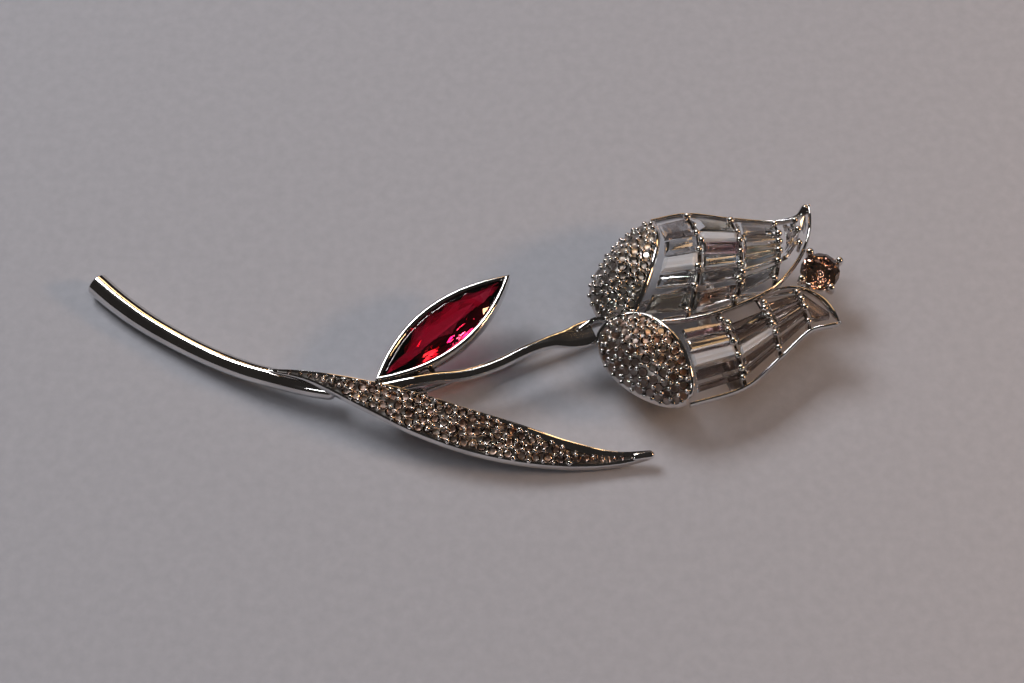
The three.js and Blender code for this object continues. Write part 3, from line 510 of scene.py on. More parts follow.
def leaf_body():
    """A tray with a thin rim along its near edge and a wide crowned band along the far one."""
    points = []
    steps = 170
    for i in range(steps + 1):
        t = i / steps
        near, far = leaf_near(t), leaf_far(t)
        width, rim, band = leaf_widths(t)
        size = min(1.0, width / 1.1)
        r = 0.12 * size
        deep = LEAF_THICKNESS * size
        floor = BED_DEPTH * size
        section = [(0, -0.8 * deep), (0, -r), (0.3 * r, -0.3 * r), (r, 0), (rim - 0.5 * r, 0),
            (rim, -0.5 * r), (rim, -floor), (width - band, -floor), (width - band, -0.5 * r),
            (width - band + 0.5 * r, 0), (width - 0.66 * band, 0.06 * size),
            (width - 0.33 * band, 0.06 * size), (width - r, 0), (width - 0.3 * r, -0.3 * r), (width, -r),
            (width, -0.8 * deep), (0.94 * width, -deep), (0.06 * width, -deep)]
        across = (far - near).normalized()
        points += [near + across * a + UP * h for a, h in section]
    shape = Shape().add(points, grid_faces(steps + 1, len(section)))
    tip = [(leaf_near(t) + leaf_far(t)) / 2 - UP * 0.2 for t in (0.945, 0.965, 0.985, 1.0)]
    shape.add(*tube(tip, 0.42))
    piece("leaf_casting", shape, RHODIUM, smooth=34, stands_for=["leaf_body"])


# ---- pave fields ----

def brilliant(radius, crown, pavilion, girdle=0.06):
    """A round brilliant whose girdle lies at zero: table, star and main facets, and a pointed pavilion."""
    def ring(reach, height, count, offset):
        angles = [2 * math.pi * (k + offset) / count for k in range(count)]
        return [(reach * math.cos(a), reach * math.sin(a), height) for a in angles]

    return hull(ring(radius, 0, 16, 0) + ring(radius, -girdle * radius, 16, 0)
        + ring(0.8 * radius, 0.62 * crown, 8, 0.5) + ring(0.57 * radius, crown, 8, 0)
        + ring(0.42 * radius, -0.62 * pavilion, 8, 0.5) + [(0, 0, -pavilion)])


def even_spots(places, areas, pitches, rounds=40):
    """Points shared out evenly over a surface given as many small places, each with an area and the pitch
    wanted there: every point is moved again and again to the middle of the places nearest to it."""
    weights = areas / (0.866 * pitches ** 2)
    count = max(1, int(round(weights.sum())))
    steps = np.cumsum(weights)
    chosen = places[np.searchsorted(steps, (np.arange(count) + 0.5) * steps[-1] / count)]
    for _ in range(rounds):
        nearest = ((places[:, None, :] - chosen[None, :, :]) ** 2).sum(2).argmin(1)
        total = np.bincount(nearest, weights, count)
        for k in range(3):
            sums = np.bincount(nearest, weights * places[:, k], count)
            chosen[:, k] = np.where(total > 0, sums / np.maximum(total, 1e-9), chosen[:, k])
    nearest = ((places[:, None, :] - chosen[None, :, :]) ** 2).sum(2).argmin(0)
    return [Vector(places[i][:2]) for i in nearest]


def turned_to(normal):
    return UP.rotation_difference(normal).to_matrix().to_4x4()


def pave_field(name, places, surface, radius_at, node, seed, outside):
    """Small brilliants over a surface, and the beads raised between them that hold them down. Each place is
    a plan point and the area round it."""
    chance = random.Random(seed)
    lifted = np.array([list(surface(p)[0]) for p, _ in places])
    pitches = np.array([2 * radius_at(p) + PAVE_GAP for p, _ in places])
    spots = even_spots(lifted, np.array([area for _, area in places]), pitches)
    stones = Shape()
    for spot in spots:
        centre, normal = surface(spot)
        radius = radius_at(spot) * chance.uniform(0.97, 1.03)
        tilt = (normal + Vector((chance.uniform(-0.08, 0.08), chance.uniform(-0.08, 0.08), 0))).normalized()
        turn = Matrix.Rotation(chance.uniform(0, math.pi), 4, "Z")
        matrix = Matrix.Translation(centre - normal * 0.02) @ turned_to(tilt) @ turn
        stones.add(*moved(brilliant(radius, 0.32 * radius, 0.66 * radius), matrix), chance)
    piece(f"{name}_stones", stones, PAVE[node], smooth=0, stands_for=[node])
    beads = Shape()
    for spot in bead_spots(spots, surface, outside, radius_at):
        centre, normal = surface(spot)
        size = PAVE_BEAD_RADIUS * chance.uniform(0.9, 1.12) * min(1, radius_at(spot) / PAVE_STONE_RADIUS)
        matrix = Matrix.Translation(centre + normal * PAVE_BEAD_LIFT) @ turned_to(normal)
        beads.add(*moved(ball(size, 1.05, 16, 10), matrix))
        beads.add(*moved(lathe([(size * 0.8, -0.3), (size * 0.85, 0)], 12), matrix))
    piece(f"{name}_beads", beads, RHODIUM, smooth=60)


def bead_spots(spots, surface, outside, radius_at):
    """The middles of the triangles between neighbouring stones, and points beside the outermost stones."""
    triangles = delaunay_2d_cdt(spots, [], [], 0, 1e-6)[2]
    found = []
    edges = {}

    def length(a, b):
        return (surface(a)[0] - surface(b)[0]).length

    for triangle in triangles:
        corners = [spots[i] for i in triangle]
        middle = sum(corners, Vector((0, 0))) / 3
        pitch = 2 * radius_at(middle) + PAVE_GAP
        if max(length(corners[i], corners[i - 1]) for i in range(3)) < 1.7 * pitch:
            found.append(middle)
            for i in range(3):
                key = tuple(sorted((triangle[i], triangle[i - 1])))
                edges.setdefault(key, []).append(middle)
    for (a, b), sides in edges.items():
        if len(sides) == 1:
            middle = (spots[a] + spots[b]) / 2
            away = (middle - sides[0]).normalized()
            found.append(middle + away * 0.4 * PAVE_PITCH * surface(middle)[1].z)
    kept = []
    for spot in found:
        close = 0.52 * (2 * radius_at(spot) + PAVE_GAP)
        if outside(spot) or any(length(spot, other) < close for other in kept):
            continue
        kept.append(spot)
    return kept


def leaf_pave():
    """One to four stones across, in the tray of the leaf, smaller towards its ends."""
    ends = (0.05, 0.91)
    shares = [lerp(*ends, i / 260) for i in range(261)]
    middles = [((leaf_near(t) + leaf_far(t)) / 2).xy for t in shares]

    def limits(t):
        width, rim, band = leaf_widths(t)
        radius = min(PAVE_STONE_RADIUS, max(0.24, 0.46 * (width - rim - band)))
        return rim / width, 1 - band / width, radius

    def split(p):
        best = min(range(len(shares)), key=lambda i: (middles[i] - p).length_squared)
        t = shares[best]
        near, far = leaf_near(t), leaf_far(t)
        along = (far - near).xy
        return t, near, far, (p - near.xy).dot(along) / along.length_squared, (p - middles[best]).length

    def surface(p):
        t, near, far, across, _ = split(p)
        normal = slope(leaf_near, t).cross(far - near).normalized()
        return Vector((p.x, p.y, near.lerp(far, across).z + 0.03)), normal if normal.z > 0 else -normal

    def outside(p):
        t, near, far, across, away = split(p)
        return not (0.04 < across < 0.96) or away > 0.55 * (far - near).xy.length or not ends[0] < t < ends[1]

    places = []
    for t in shares:
        near, far = leaf_near(t), leaf_far(t)
        low, high, _ = limits(t)
        count = max(3, round((high - low) * (far - near).length / 0.14))
        for k in range(count):
            across = lerp(low, high, (k + 0.5) / count)
            spot = near.lerp(far, across)
            step = (leaf_near(t + 0.002).lerp(leaf_far(t + 0.002), across) - spot).length / 0.002
            area = step * (shares[1] - shares[0]) * (high - low) * (far - near).length / count
            places.append((spot.xy, area))
    bed_rows = 120
    points = []
    for i in range(bed_rows + 1):
        t = lerp(0.03, 0.965, i / bed_rows)
        width, rim, band = leaf_widths(t)
        for share, drop in ((rim / width, 0.2), (1 - band / width, 0.2), (1 - band / width, 0.34),
                (rim / width, 0.34)):
            points.append(leaf_near(t).lerp(leaf_far(t), share) - UP * drop * min(1, width / 1.1))
    # A sheet of darker metal in the tray, under the stones: painted shade between them.
    bed = Shape().add(points, grid_faces(bed_rows + 1, 4))
    piece("leaf_bed", bed, SHADE_DARKENED_METAL)
    pave_field("leaf_pave", places, surface, lambda p: limits(split(p)[0])[2], "leaf_pave", 3, outside)


# ---- navette ----

def navette_point(turn, length, width):
    """A point of an outline whose two bowed sides meet in a point at each end."""
    angle = 2 * math.pi * turn
    along = math.cos(angle)
    side = math.copysign(1, math.sin(angle))
    return along * length / 2, side * width * (1 - along * along) / 2


def navette_bezel():
    """A tall thin wall with a rounded lip that comes just over the stone, and a ledge under its girdle."""
    seat_length = NAVETTE_LENGTH + 4 * SEAT_GAP
    seat_width = NAVETTE_WIDTH + 2 * SEAT_GAP
    section = [(-0.5, -1.4), (0.4, -1.4), (0.47, -1.34), (0.5, -1.25), (0.5, -0.16), (0.46, -0.04),
        (0.36, 0.03), (0.22, 0.05), (0.06, 0.02), (-0.06, -0.05), (-0.1, -0.12), (-0.06, -0.2), (-0.04, -0.6),
        (-0.5, -0.62)]
    turns = 200
    points = []
    for i in range(turns):
        for out, height in section:
            x, y = navette_point((i + 0.5) / turns, seat_length + 3 * out, seat_width + 2 * out)
            points.append((x, y, height))
    shape = Shape().add(points, grid_faces(turns, len(section), True))
    piece("navette_bezel", shape, RHODIUM, frame_of=NAVETTE_FRAME, stands_for=["marquise_bezel"])


def navette_stone():
    """A navette cut with long facets: a narrow table, and a pavilion that ends in a keel."""
    rings = [(1, 1, -0.15, 32, 0.5), (1, 1, -0.27, 32, 0.5), (0.9, 0.82, 0.18, 20, 0),
        (0.78, 0.6, 0.42, 14, 0.5), (0.62, 0.36, 0.58, 10, 0), (0.84, 0.8, -0.66, 20, 0),
        (0.72, 0.58, -0.98, 16, 0.5), (0.6, 0.34, -1.25, 12, 0), (0.42, 0.03, -1.42, 2, 0)]
    points = []
    for along, across, height, count, offset in rings:
        for k in range(count):
            x, y = navette_point((k + offset) / count, NAVETTE_LENGTH * along, NAVETTE_WIDTH * across)
            points.append((x, y, height))
    shape = Shape().add(*hull(points), random.Random(21))
    piece("navette_stone", shape, CRIMSON, frame_of=NAVETTE_FRAME, smooth=0,
        stands_for=["marquise_stone"])


def bezel_strut():
    low, high = (Vector(corner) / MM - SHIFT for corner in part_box("bezel_strut"))
    middle = (low + high) / 2
    path = sample(spline([middle + Vector((0.25, -0.5, -0.1)), middle, middle + Vector((-0.25, 0.45, 0.1))]),
        12)
    # The link takes the near-black metal: painted shade under the navette.
    piece("bezel_link", Shape().add(*tube(path, 0.3)), PAINTED_SHADE, stands_for=["bezel_strut"])


# ---- cups ----

class Cup:
    """A dome over a closed outline, highest over its centre."""

    def __init__(self, name, rows, centre, band_range):
        self.name = name
        self.band_range = band_range
        self.outline = spline(rows, True)
        self.centre = Vector(centre)
        self.edge = sorted((math.atan2(p.y - centre[1], p.x - centre[0]), p)
            for p in (self.outline(i / 720) for i in range(720)))

    def point(self, turn, share, inset=0.0):
        edge = self.outline(turn)
        out = (edge - self.centre).xy
        ahead = (self.outline(turn + 1e-3) - self.outline(turn - 1e-3)).xy.normalized()
        reach = abs(out.x * ahead.y - out.y * ahead.x)
        rho = share * (1 - inset / reach)
        spot = self.centre.lerp(edge, rho)
        spot.z = lerp(self.centre.z, edge.z, min(1, rho * rho))
        return spot

    def rho(self, p):
        """How far out a plan point lies, as a share of the way to the outline, and the edge beyond it."""
        out = p - self.centre.xy
        angle = math.atan2(out.y, out.x)
        low, high = 0, len(self.edge) - 1
        while low < high:
            middle = (low + high) // 2
            if self.edge[middle][0] < angle:
                low = middle + 1
            else:
                high = middle
        edge = self.edge[low][1]
        return out.length / (edge - self.centre).xy.length, edge

    def height(self, p):
        rho, edge = self.rho(p)
        return lerp(self.centre.z, edge.z, min(1, rho * rho))

    def surface(self, p):
        step = 0.05
        dx = (self.height(p + Vector((step, 0))) - self.height(p - Vector((step, 0)))) / (2 * step)
        dy = (self.height(p + Vector((0, step))) - self.height(p - Vector((0, step)))) / (2 * step)
        dx, dy = (max(-2.2, min(2.2, d)) for d in (dx, dy))
        return Vector((p.x, p.y, self.height(p))), Vector((-dx, -dy, 1)).normalized()

    def turn_of(self, edge):
        """The share of the way round the outline at which an edge point lies."""
        return min(range(180), key=lambda i: (self.outline(i / 180) - edge).length_squared) / 180

    def band(self, turn):
        """1 where the polished band runs, beside the petal, and 0 along the side that the stones reach."""
        low, high = self.band_range
        away = min(abs(turn - end - lap) for end in (low, high) for lap in (-1, 0, 1))
        inside = low < turn < high or low < turn + 1 < high
        return smoothstep(away, 0, 0.04) if inside else 0.0

    def margin(self, edge):
        return lerp(0.04, 0.32, self.band(self.turn_of(edge)))

    def outside(self, p):
        rho, edge = self.rho(p)
        return rho > 1 - (self.margin(edge) - 0.02) / (edge - self.centre).xy.length

    def places(self, step=0.14):
        """Plan points inside the margin, each with the area of dome over it."""
        low = [min(p[k] for _, p in self.edge) for k in (0, 1)]
        high = [max(p[k] for _, p in self.edge) for k in (0, 1)]
        margins = {id(edge): self.margin(edge) for _, edge in self.edge}
        found = []
        for i in range(int((high[0] - low[0]) / step)):
            for j in range(int((high[1] - low[1]) / step)):
                p = Vector((low[0] + i * step, low[1] + j * step))
                rho, edge = self.rho(p)
                if rho < 1 - margins[id(edge)] / (edge - self.centre).xy.length:
                    found.append((p, step * step / self.surface(p)[1].z))
        return found


upper_cup = Cup("upper_cup", [(18.4, 11, 5.1), (18.75, 9.6, 6.4), (18.9, 7.5, 7.6), (18.55, 5.15, 7.9),
    (17.7, 2.4, 7.3), (16.9, 0.65, 6.5), (16.1, -0.8, 5.4), (14.4, -0.8, 4.8), (13, 0.1, 4.6),
    (12.15, 2.3, 4.5), (12.45, 4.2, 4.5), (13.65, 6.7, 4.5), (15.3, 8.85, 4.6), (16.95, 10.3, 4.8)],
    (15.8, 5.0, 7.5), (0.0, 0.5))
lower_cup = Cup("lower_cup", [(12.85, -3, 4.5), (13.3, -5, 4.4), (14.35, -6.7, 4.4), (15.9, -8.2, 4.4),
    (17.6, -9.25, 4.4), (19.6, -9.9, 4.4), (21.35, -9.75, 4.7), (21.75, -8.3, 6.2), (21.2, -6.2, 7.4),
    (20.35, -4.5, 7.8), (19.1, -2.85, 7.7), (17.75, -1.6, 7.3), (16.3, -1, 6.8), (14.85, -1.05, 6.3),
    (13.4, -1.7, 5.3)], (17.2, -5.2, 8.1), (0.4, 1.02))


def cup_shell(cup):
    """The domed bed of a cup, and the polished band beside the petal, which dies into the bed elsewhere. The
    bed's darker metal is painted shade between the stones.
    """
    columns, rings = 96, 12
    depths = [(k / rings, 0.24) for k in range(1, rings + 1)] + [(k / rings, 0.95)
        for k in range(rings, 0, -1)]
    points = [cup.point(c / columns, share, 0.12) - UP * depth for share, depth in depths
        for c in range(columns)]
    bed = Shape().add(points, grid_faces(len(depths), columns))
    piece(f"{cup.name}_bed", bed, SHADE_DARKENED_METAL, smooth=50, stands_for=[f"{cup.name}_shell"])
    steps = 180
    shares = [cup.band(i / steps) for i in range(steps)]
    rim = [cup.point(i / steps, 1, lerp(0.3, 0, shares[i])) - UP * lerp(0.7, 0.26, shares[i])
        for i in range(steps)]
    sizes = [(lerp(0.06, CUP_RIM_HALF_WIDTH, share), lerp(0.06, CUP_RIM_HALF_HEIGHT, share))
        for share in shares]
    band = Shape().add(*sweep(rim, lambda i: ellipse(*sizes[i], 24), True))
    piece(f"{cup.name}_band", band, RHODIUM, smooth=60)


def cup_pave(cup, seed):
    pave_field(f"{cup.name}_pave", cup.places(), cup.surface, lambda p: PAVE_STONE_RADIUS, f"{cup.name}_pave",
        seed, cup.outside)


# ---- petals ----

class Petal:
    """A domed sheet ruled between two edges. Row t runs from the cup to the tip, s from -1 to 1 across."""

    def __init__(self, name, rows, bow, first, second, stones):
        self.name = name
        self.rows = rows
        self.bow = bow
        self.first = spline(first)
        self.second = spline(second)
        self.stones = stones

    def half_width(self, t):
        return (self.second(t / self.rows) - self.first(t / self.rows)).length / 2

    def point(self, t, s):
        first, second = self.first(t / self.rows), self.second(t / self.rows)
        crown = 1 - s * s
        spot = first.lerp(second, (s + 1) / 2)
        spot.x += self.bow * crown * max(0, 1 - t / 4)
        spot.z += PETAL_CROWN * (second - first).length / 2 * crown
        return spot

    def reach(self, t):
        """How much of the half width the stones use, inside the rim."""
        return 1 - (PETAL_RIM_RADIUS + 0.2) / max(0.8, self.half_width(t))


upper_petal = Petal(
    "upper_petal", 6, 1.6,
    [(16.2, -1, 5.2), (21.6, -1.15, 6.0), (26.2, 0, 6.5), (30.3, 2.5, 6.3), (33.15, 6.4, 6.1),
     (34.15, 9.4, 6.15), (34.25, 11.9, 6.8)],
    [(18.4, 11, 4.9), (22.1, 12.15, 4.4), (26.5, 11.6, 4.4), (30.9, 10.9, 4.9), (32.8, 10.9, 5.6),
     (33.7, 11.25, 6.2), (34.25, 11.9, 6.8)],
    [[-1, -0.64, -0.31, 0.03, 0.43, 1], [-1, -0.66, -0.36, -0.07, 0.23, 0.5, 1],
     [-1, -0.55, -0.22, 0.1, 0.43, 1], [-0.8, -0.37, 0.08, 1]])
lower_petal = Petal(
    "lower_petal", 5, 0.4,
    [(21.6, -9.75, 4.3), (27.1, -7.7, 4.25), (30.7, -4.45, 4.5), (33.7, -1.8, 5.1), (35.4, -1.45, 5.4),
     (36.6, -1.25, 5.5)],
    [(19.4, -0.6, 4.6), (24.4, 0.4, 4.75), (28.6, 1.8, 5.0), (32.3, 2.8, 5.2), (34.9, 1.5, 5.4),
     (36.6, -1.25, 5.5)],
    [[-1, -0.78, -0.46, -0.07, 0.3, 0.7], [-1, -0.8, -0.51, -0.18, 0.16, 0.52],
     [-1, -0.65, -0.27, 0.25, 0.8]])


def petal_rim(edge, other, flare):
    """One side of the rim: a thin upright wire, tapering to the tip, with an optional flare before it."""
    steps = 90
    path = []
    sizes = []
    for i in range(steps + 1):
        share = i / steps
        spot = edge(share)
        out = spot - other(share)
        taper = smoothstep(share, 0.93, 1.0)
        room = (1 - taper) * (PETAL_RIM_RADIUS - PETAL_RIM_HALF_WIDTH)
        if out.length > 1e-6:
            spot = spot + out.normalized() * room * 0.8
        wide = flare * smoothstep(share, 0.72, 0.86) * (1 - smoothstep(share, 0.9, 1.0))
        path.append(spot)
        sizes.append((lerp(PETAL_RIM_HALF_WIDTH, 0.1, taper) + wide,
            lerp(PETAL_RIM_HALF_HEIGHT, 0.14, taper)))
    return sweep(path, lambda i: ellipse(*sizes[i], 22))


def petal_rail(petal, t):
    reach = 1 - PETAL_RIM_RADIUS / (2 * petal.half_width(t))
    path = []
    for i in range(41):
        s = reach * (i / 20 - 1)
        path.append(petal.point(t, s) - UP * RAIL_DROP * (1 - s ** 4))
    return tube(path, RAIL_RADIUS)


def petal_frame(petal, flare):
    """The rim, and the rails under the stones, which are painted near-black as shade."""
    shape = Shape().add(*petal_rim(petal.first, petal.second, 0.0))
    shape.add(*petal_rim(petal.second, petal.first, flare))
    shape.add(*moved(ball(0.15, 1.2), Matrix.Translation(petal.first(1))))
    piece(f"{petal.name}_wires", shape, RHODIUM, smooth=50, stands_for=[f"{petal.name}_frame"])
    rails = Shape()
    for t in (1, 2, 3):
        rails.add(*petal_rail(petal, t))
    piece(f"{petal.name}_rails", rails, PAINTED_SHADE, smooth=50)


def petal_beads(petal, seed):
    """Bead tipped prongs in pairs at the corners of the stones, each standing on the rail below it."""
    chance = random.Random(seed)
    shape = Shape()
    kept = []
    for row, limits in enumerate(petal.stones):
        for end in (row + 0.04, row + 0.96):
            if end < 0.5:
                continue
            for s in limits:
                spot = petal.point(end, s * petal.reach(end))
                if all((spot - other).length > 0.8 for other in kept):
                    kept.append(spot)
                    size = PETAL_BEAD_RADIUS * chance.uniform(0.85, 1.12)
                    shape.add(*moved(ball(size, 0.95, 18, 12),
                        Matrix.Translation(spot + UP * PETAL_BEAD_LIFT)))
                    shape.add(*tube([spot - UP * 0.9, spot + UP * 0.2], size * 0.6, 14))
    piece(f"{petal.name}_beads", shape, RHODIUM, smooth=60)


# Painted light of each baguette, by petal and number: the set of tints that paints its light and shade. Those
# not named take the clear set in the upper petal, and in the lower petal the darkest set, which paints the
# shade under that petal.
BAGUETTE_PAINTED_LIGHT = {
    "upper": {1: "warm", 3: "glint_white", 5: "shade_darkened", 6: "orange_fire", 7: "clear", 8: "cool", 9: "pink_fire", 10: "glint_white",
        11: "warm", 13: "cool", 14: "green_fire", 17: "shade_darkened"},
    "lower": {3: "glint_white", 5: "pink_fire", 8: "glint_white"},
}


def cut_baguettes():
    """Each baguette is cut again from its CAD form. It is parted lengthwise, and the cuts are raised and
    lowered a little in turn, so that it shows streaks along its length."""
    for name, node in sorted(frame["nodes"].items()):
        if "baguette" not in name:
            continue
        petal, _, number = name.split("_")
        # The lower petal's stones default to the darkest set: painted shade under that petal.
        tone = BAGUETTE_PAINTED_LIGHT[petal].get(int(number), "clear" if petal == "upper" else "shade_darkened")
        chance = random.Random(f"{petal}{number}")
        work = bmesh.new()
        work.from_mesh(node.data)
        bmesh.ops.dissolve_limit(work, angle_limit=math.radians(3), verts=work.verts, edges=work.edges)
        centre = sum((v.co for v in work.verts), Vector()) / len(work.verts)
        longest = max(work.edges, key=lambda e: e.calc_length())
        along = (longest.verts[0].co - longest.verts[1].co).normalized()
        side = along.cross(UP).normalized()
        up = side.cross(along).normalized()
        up = up if up.z > 0 else -up
        half = max(abs((v.co - centre).dot(side)) for v in work.verts)
        for k, share in enumerate((-0.42, -0.04, 0.36)):
            place = centre + side * half * (share + chance.uniform(-0.07, 0.07))
            cut = bmesh.ops.bisect_plane(work, geom=work.verts[:] + work.edges[:] + work.faces[:],
                plane_co=place, plane_no=(side + along * chance.uniform(-0.03, 0.03)).normalized())
            for v in cut["geom_cut"]:
                if isinstance(v, bmesh.types.BMVert):
                    v.co += up * MM * (STREAK_RISE if k % 2 else -STREAK_RISE)
        shape = Shape()
        work.verts.index_update()
        shape.add([v.co for v in work.verts], [tuple(v.index for v in f.verts) for f in work.faces], chance)
        work.free()
        piece(f"{name}_cut", shape, CLEAR[tone], frame_of=Matrix.Identity(4), smooth=0,
            stands_for=[name])


# ---- pistil ----

def pistil():
    stone = Shape().add(*brilliant(PISTIL_RADIUS, 0.72, 1.84, 0.06), random.Random(31))
    piece("pistil_brilliant", stone, CHAMPAGNE, frame_of=PISTIL_FRAME, smooth=0,
        stands_for=["pistil_stone"])
    gallery = [(1.15, -1.7), (1.2, -1.75), (1.45, -1.75), (1.5, -1.7), (1.5, -1.05), (1.45, -1.0),
        (1.2, -1.0), (1.15, -1.05), (1.15, -1.7)]
    shape = Shape().add(*lathe(gallery, 64))
    for angle in (0.47, 2.04, 3.61, 5.18):
        across = Vector((math.cos(angle), math.sin(angle), 0))
        out = PISTIL_RADIUS + 0.36
        claw = spline([across * 1.24 - UP * 1.45, across * (out - 0.15) - UP * 0.6, across * out + UP * 0.1,
            across * (out - 0.1) + UP * 0.42])
        shape.add(*tube(sample(claw, 20), 0.25, 18))
        shape.add(*moved(ball(0.4, 0.9, 20, 12), Matrix.Translation(across * (out - 0.22) + UP * 0.5)))
    piece("pistil_claws", shape, RHODIUM, frame_of=PISTIL_FRAME, smooth=50, stands_for=["pistil_setting"])
    start = bridge_line(0.5) + Vector((BRIDGE_WIDTH / 2, 0, BRIDGE_TOP - BRIDGE_THICKNESS / 2))
    line = spline([start, (29, 3.2, start.z - 0.1), (34.2, 4.6, 2.75), (35.2, 5.1, 2.8), (35.2, 5.2, 3.3)])
    piece("pistil_stalk", Shape().add(*tube(sample(line, 60), 0.45)), RHODIUM, stands_for=["pistil_post"])


# ---- pin, hinge and catch ----

PIN_RADIUS = 0.4
KNUCKLE_RADIUS = 0.75
KNUCKLE_WIDTH = 1.1
RIVET_RADIUS = 0.35
RUNNING_GAP = 0.07
EAR_THICKNESS = 0.5
EAR_RADIUS = 0.8
PLATE_LENGTH = 4.0
PLATE_THICKNESS = 0.4
PIN_OVERRUN = 3
PIN_POINT_LENGTH = 5
CATCH_LENGTH = 1.6
CATCH_WALL = 0.5
ROLLER_LENGTH = 2.9
ROLLER_WALL = 0.46
LEVER_REACH = 1.5
LEVER_THICKNESS = 0.4
LEVER_HALF_WIDTH = 0.4
ROLLER_INNER = PIN_RADIUS + 2 * RUNNING_GAP
ROLLER_OUTER = ROLLER_INNER + ROLLER_WALL
HOUSING_INNER = ROLLER_OUTER + RUNNING_GAP
HOUSING_OUTER = HOUSING_INNER + CATCH_WALL
BRIDGE_WIDTH = 1.3
BRIDGE_THICKNESS = 0.45
BRIDGE_TOP = HINGE_SPOT.z + HOUSING_OUTER + SEAT_GAP + BRIDGE_THICKNESS
PIN_LENGTH = CATCH_DISTANCE + PIN_OVERRUN
bridge_line = spline([(22.4, 12, 0), (23.1, 5.8, 0), (23.6, -0.4, 0), (26.4, -7.8, 0)])


def bored(radius, bore, width, soft=0.08):
    """A turned ring round Y with softened edges."""
    half = width / 2
    profile = [(bore, -half + soft), (bore + soft, -half), (radius - soft, -half), (radius, -half + soft),
        (radius, half - soft), (radius - soft, half), (bore + soft, half), (bore, half - soft),
        (bore, -half + soft)]
    return lathe(profile, 56, "Y")


def pin_stem():
    """The eye, and the wire drawn out to a needle point."""
    shape = Shape().add(*bored(KNUCKLE_RADIUS, RIVET_RADIUS + RUNNING_GAP, KNUCKLE_WIDTH))
    sizes = [(0.55, PIN_RADIUS * 0.98)]
    sizes += [(x, PIN_RADIUS) for x in (1.0, PIN_LENGTH / 2, PIN_LENGTH - PIN_POINT_LENGTH)]
    for k in range(1, 13):
        share = k / 12
        sizes.append((PIN_LENGTH - PIN_POINT_LENGTH * (1 - share),
            PIN_RADIUS * max(0.05, (1 - share ** 1.7))))
    shape.add(*lathe([(radius, x) for x, radius in sizes], 28, "X"))
    piece("pin_needle", shape, STEEL, "pin", PIN_FRAME, stands_for=["pin_stem"])


def hinge_rivet():
    outside = KNUCKLE_WIDTH / 2 + SEAT_GAP + EAR_THICKNESS
    start = outside + SEAT_GAP / 2
    head = [(0.58, 0), (0.58, 0.08), (0.5, 0.17), (0.32, 0.235), (0.02, 0.25)]
    profile = [(r, -start - h) for r, h in reversed(head)] + [(RIVET_RADIUS, -start), (RIVET_RADIUS, start)]
    profile += [(r, start + h) for r, h in head]
    piece("hinge_pin", Shape().add(*lathe(profile, 40, "Y")), STEEL, frame_of=PIN_FRAME,
        stands_for=["hinge_rivet"])


def hinge_base():
    """The soldered plate and its two ears, round at the bottom and bored for the rivet."""
    underside = KNUCKLE_RADIUS + SEAT_GAP
    inside = KNUCKLE_WIDTH / 2 + SEAT_GAP
    outside = inside + EAR_THICKNESS
    outline = rectangle(PLATE_LENGTH / 2, outside)
    shape = Shape().add(*extrude(outline, underside, underside + PLATE_THICKNESS))
    count = 64
    for side in (-1, 1):
        low, high = sorted((side * inside, side * outside))
        points = []
        for y in (low, high):
            for reach in ("bore", "edge"):
                for k in range(count):
                    a = 2 * math.pi * k / count
                    x, z = math.cos(a), math.sin(a)
                    size = RIVET_RADIUS + RUNNING_GAP
                    if reach == "edge":
                        size = EAR_RADIUS if z <= 0 else min(EAR_RADIUS / max(1e-6, abs(x)),
                            (underside + 0.15) / z)
                    points.append((x * size, y, z * size))
        order = [0, 1, 3, 2]
        rings = [points[ring * count:(ring + 1) * count] for ring in order]
        shape.add([p for ring in rings for p in ring], grid_faces(4, count, True))
    piece("hinge_plate", shape, RHODIUM, frame_of=PIN_FRAME, bevel=0.05, stands_for=["hinge_base"])


def slotted_tube(inner, outer, length):
    """A tube along X with a slot that faces down, as wide as the pin needs."""
    slot = PIN_RADIUS + 2 * RUNNING_GAP
    count = 44

    def arc(radius):
        gap = math.asin(min(0.999, slot / radius))
        turns = [lerp(-math.pi / 2 + gap, 1.5 * math.pi - gap, k / count) for k in range(count + 1)]
        return [(radius * math.cos(a), radius * math.sin(a)) for a in turns]

    ring = arc(outer) + arc(inner + 0.001)[::-1]
    rows = 2
    points = []
    for k in range(rows + 1):
        x = lerp(-length / 2, length / 2, k / rows)
        points += [(x, y, z) for y, z in ring]
    faces = grid_faces(rows + 1, len(ring), caps=False)
    for base, turn in ((0, 1), (rows * len(ring), -1)):
        for k in range(count):
            a, b = base + k, base + k + 1
            c, d = base + len(ring) - 2 - k, base + len(ring) - 1 - k
            faces.append((a, b, c, d)[::turn])
    return points, faces


def catch():
    """The housing with its foot, and the roller that turns in it, with a thumb lever at its end."""
    shape = Shape().add(*slotted_tube(HOUSING_INNER, HOUSING_OUTER, CATCH_LENGTH))
    half = CATCH_LENGTH / 2
    foot = rectangle(half, HOUSING_INNER)
    shape.add(*extrude(foot, HOUSING_OUTER - CATCH_WALL, HOUSING_OUTER))
    piece("catch_housing", shape, RHODIUM, frame_of=CATCH_FRAME, bevel=0.05, stands_for=["catch_body"])
    roller = Shape().add(*slotted_tube(ROLLER_INNER, ROLLER_OUTER, ROLLER_LENGTH))
    start = half + SEAT_GAP
    end = start + LEVER_THICKNESS
    near = ROLLER_INNER + 0.05
    corner = LEVER_REACH - 0.1
    lever = [(start, -near), (start, -corner), (start + 0.06, -LEVER_REACH), (end - 0.06, -LEVER_REACH),
        (end, -corner), (end, -near)]
    roller.add(*extrude(lever, -LEVER_HALF_WIDTH, LEVER_HALF_WIDTH))
    piece("catch_roller", roller, STEEL, "roller", CATCH_FRAME, bevel=0.04,
        stands_for=["safety_roller"])


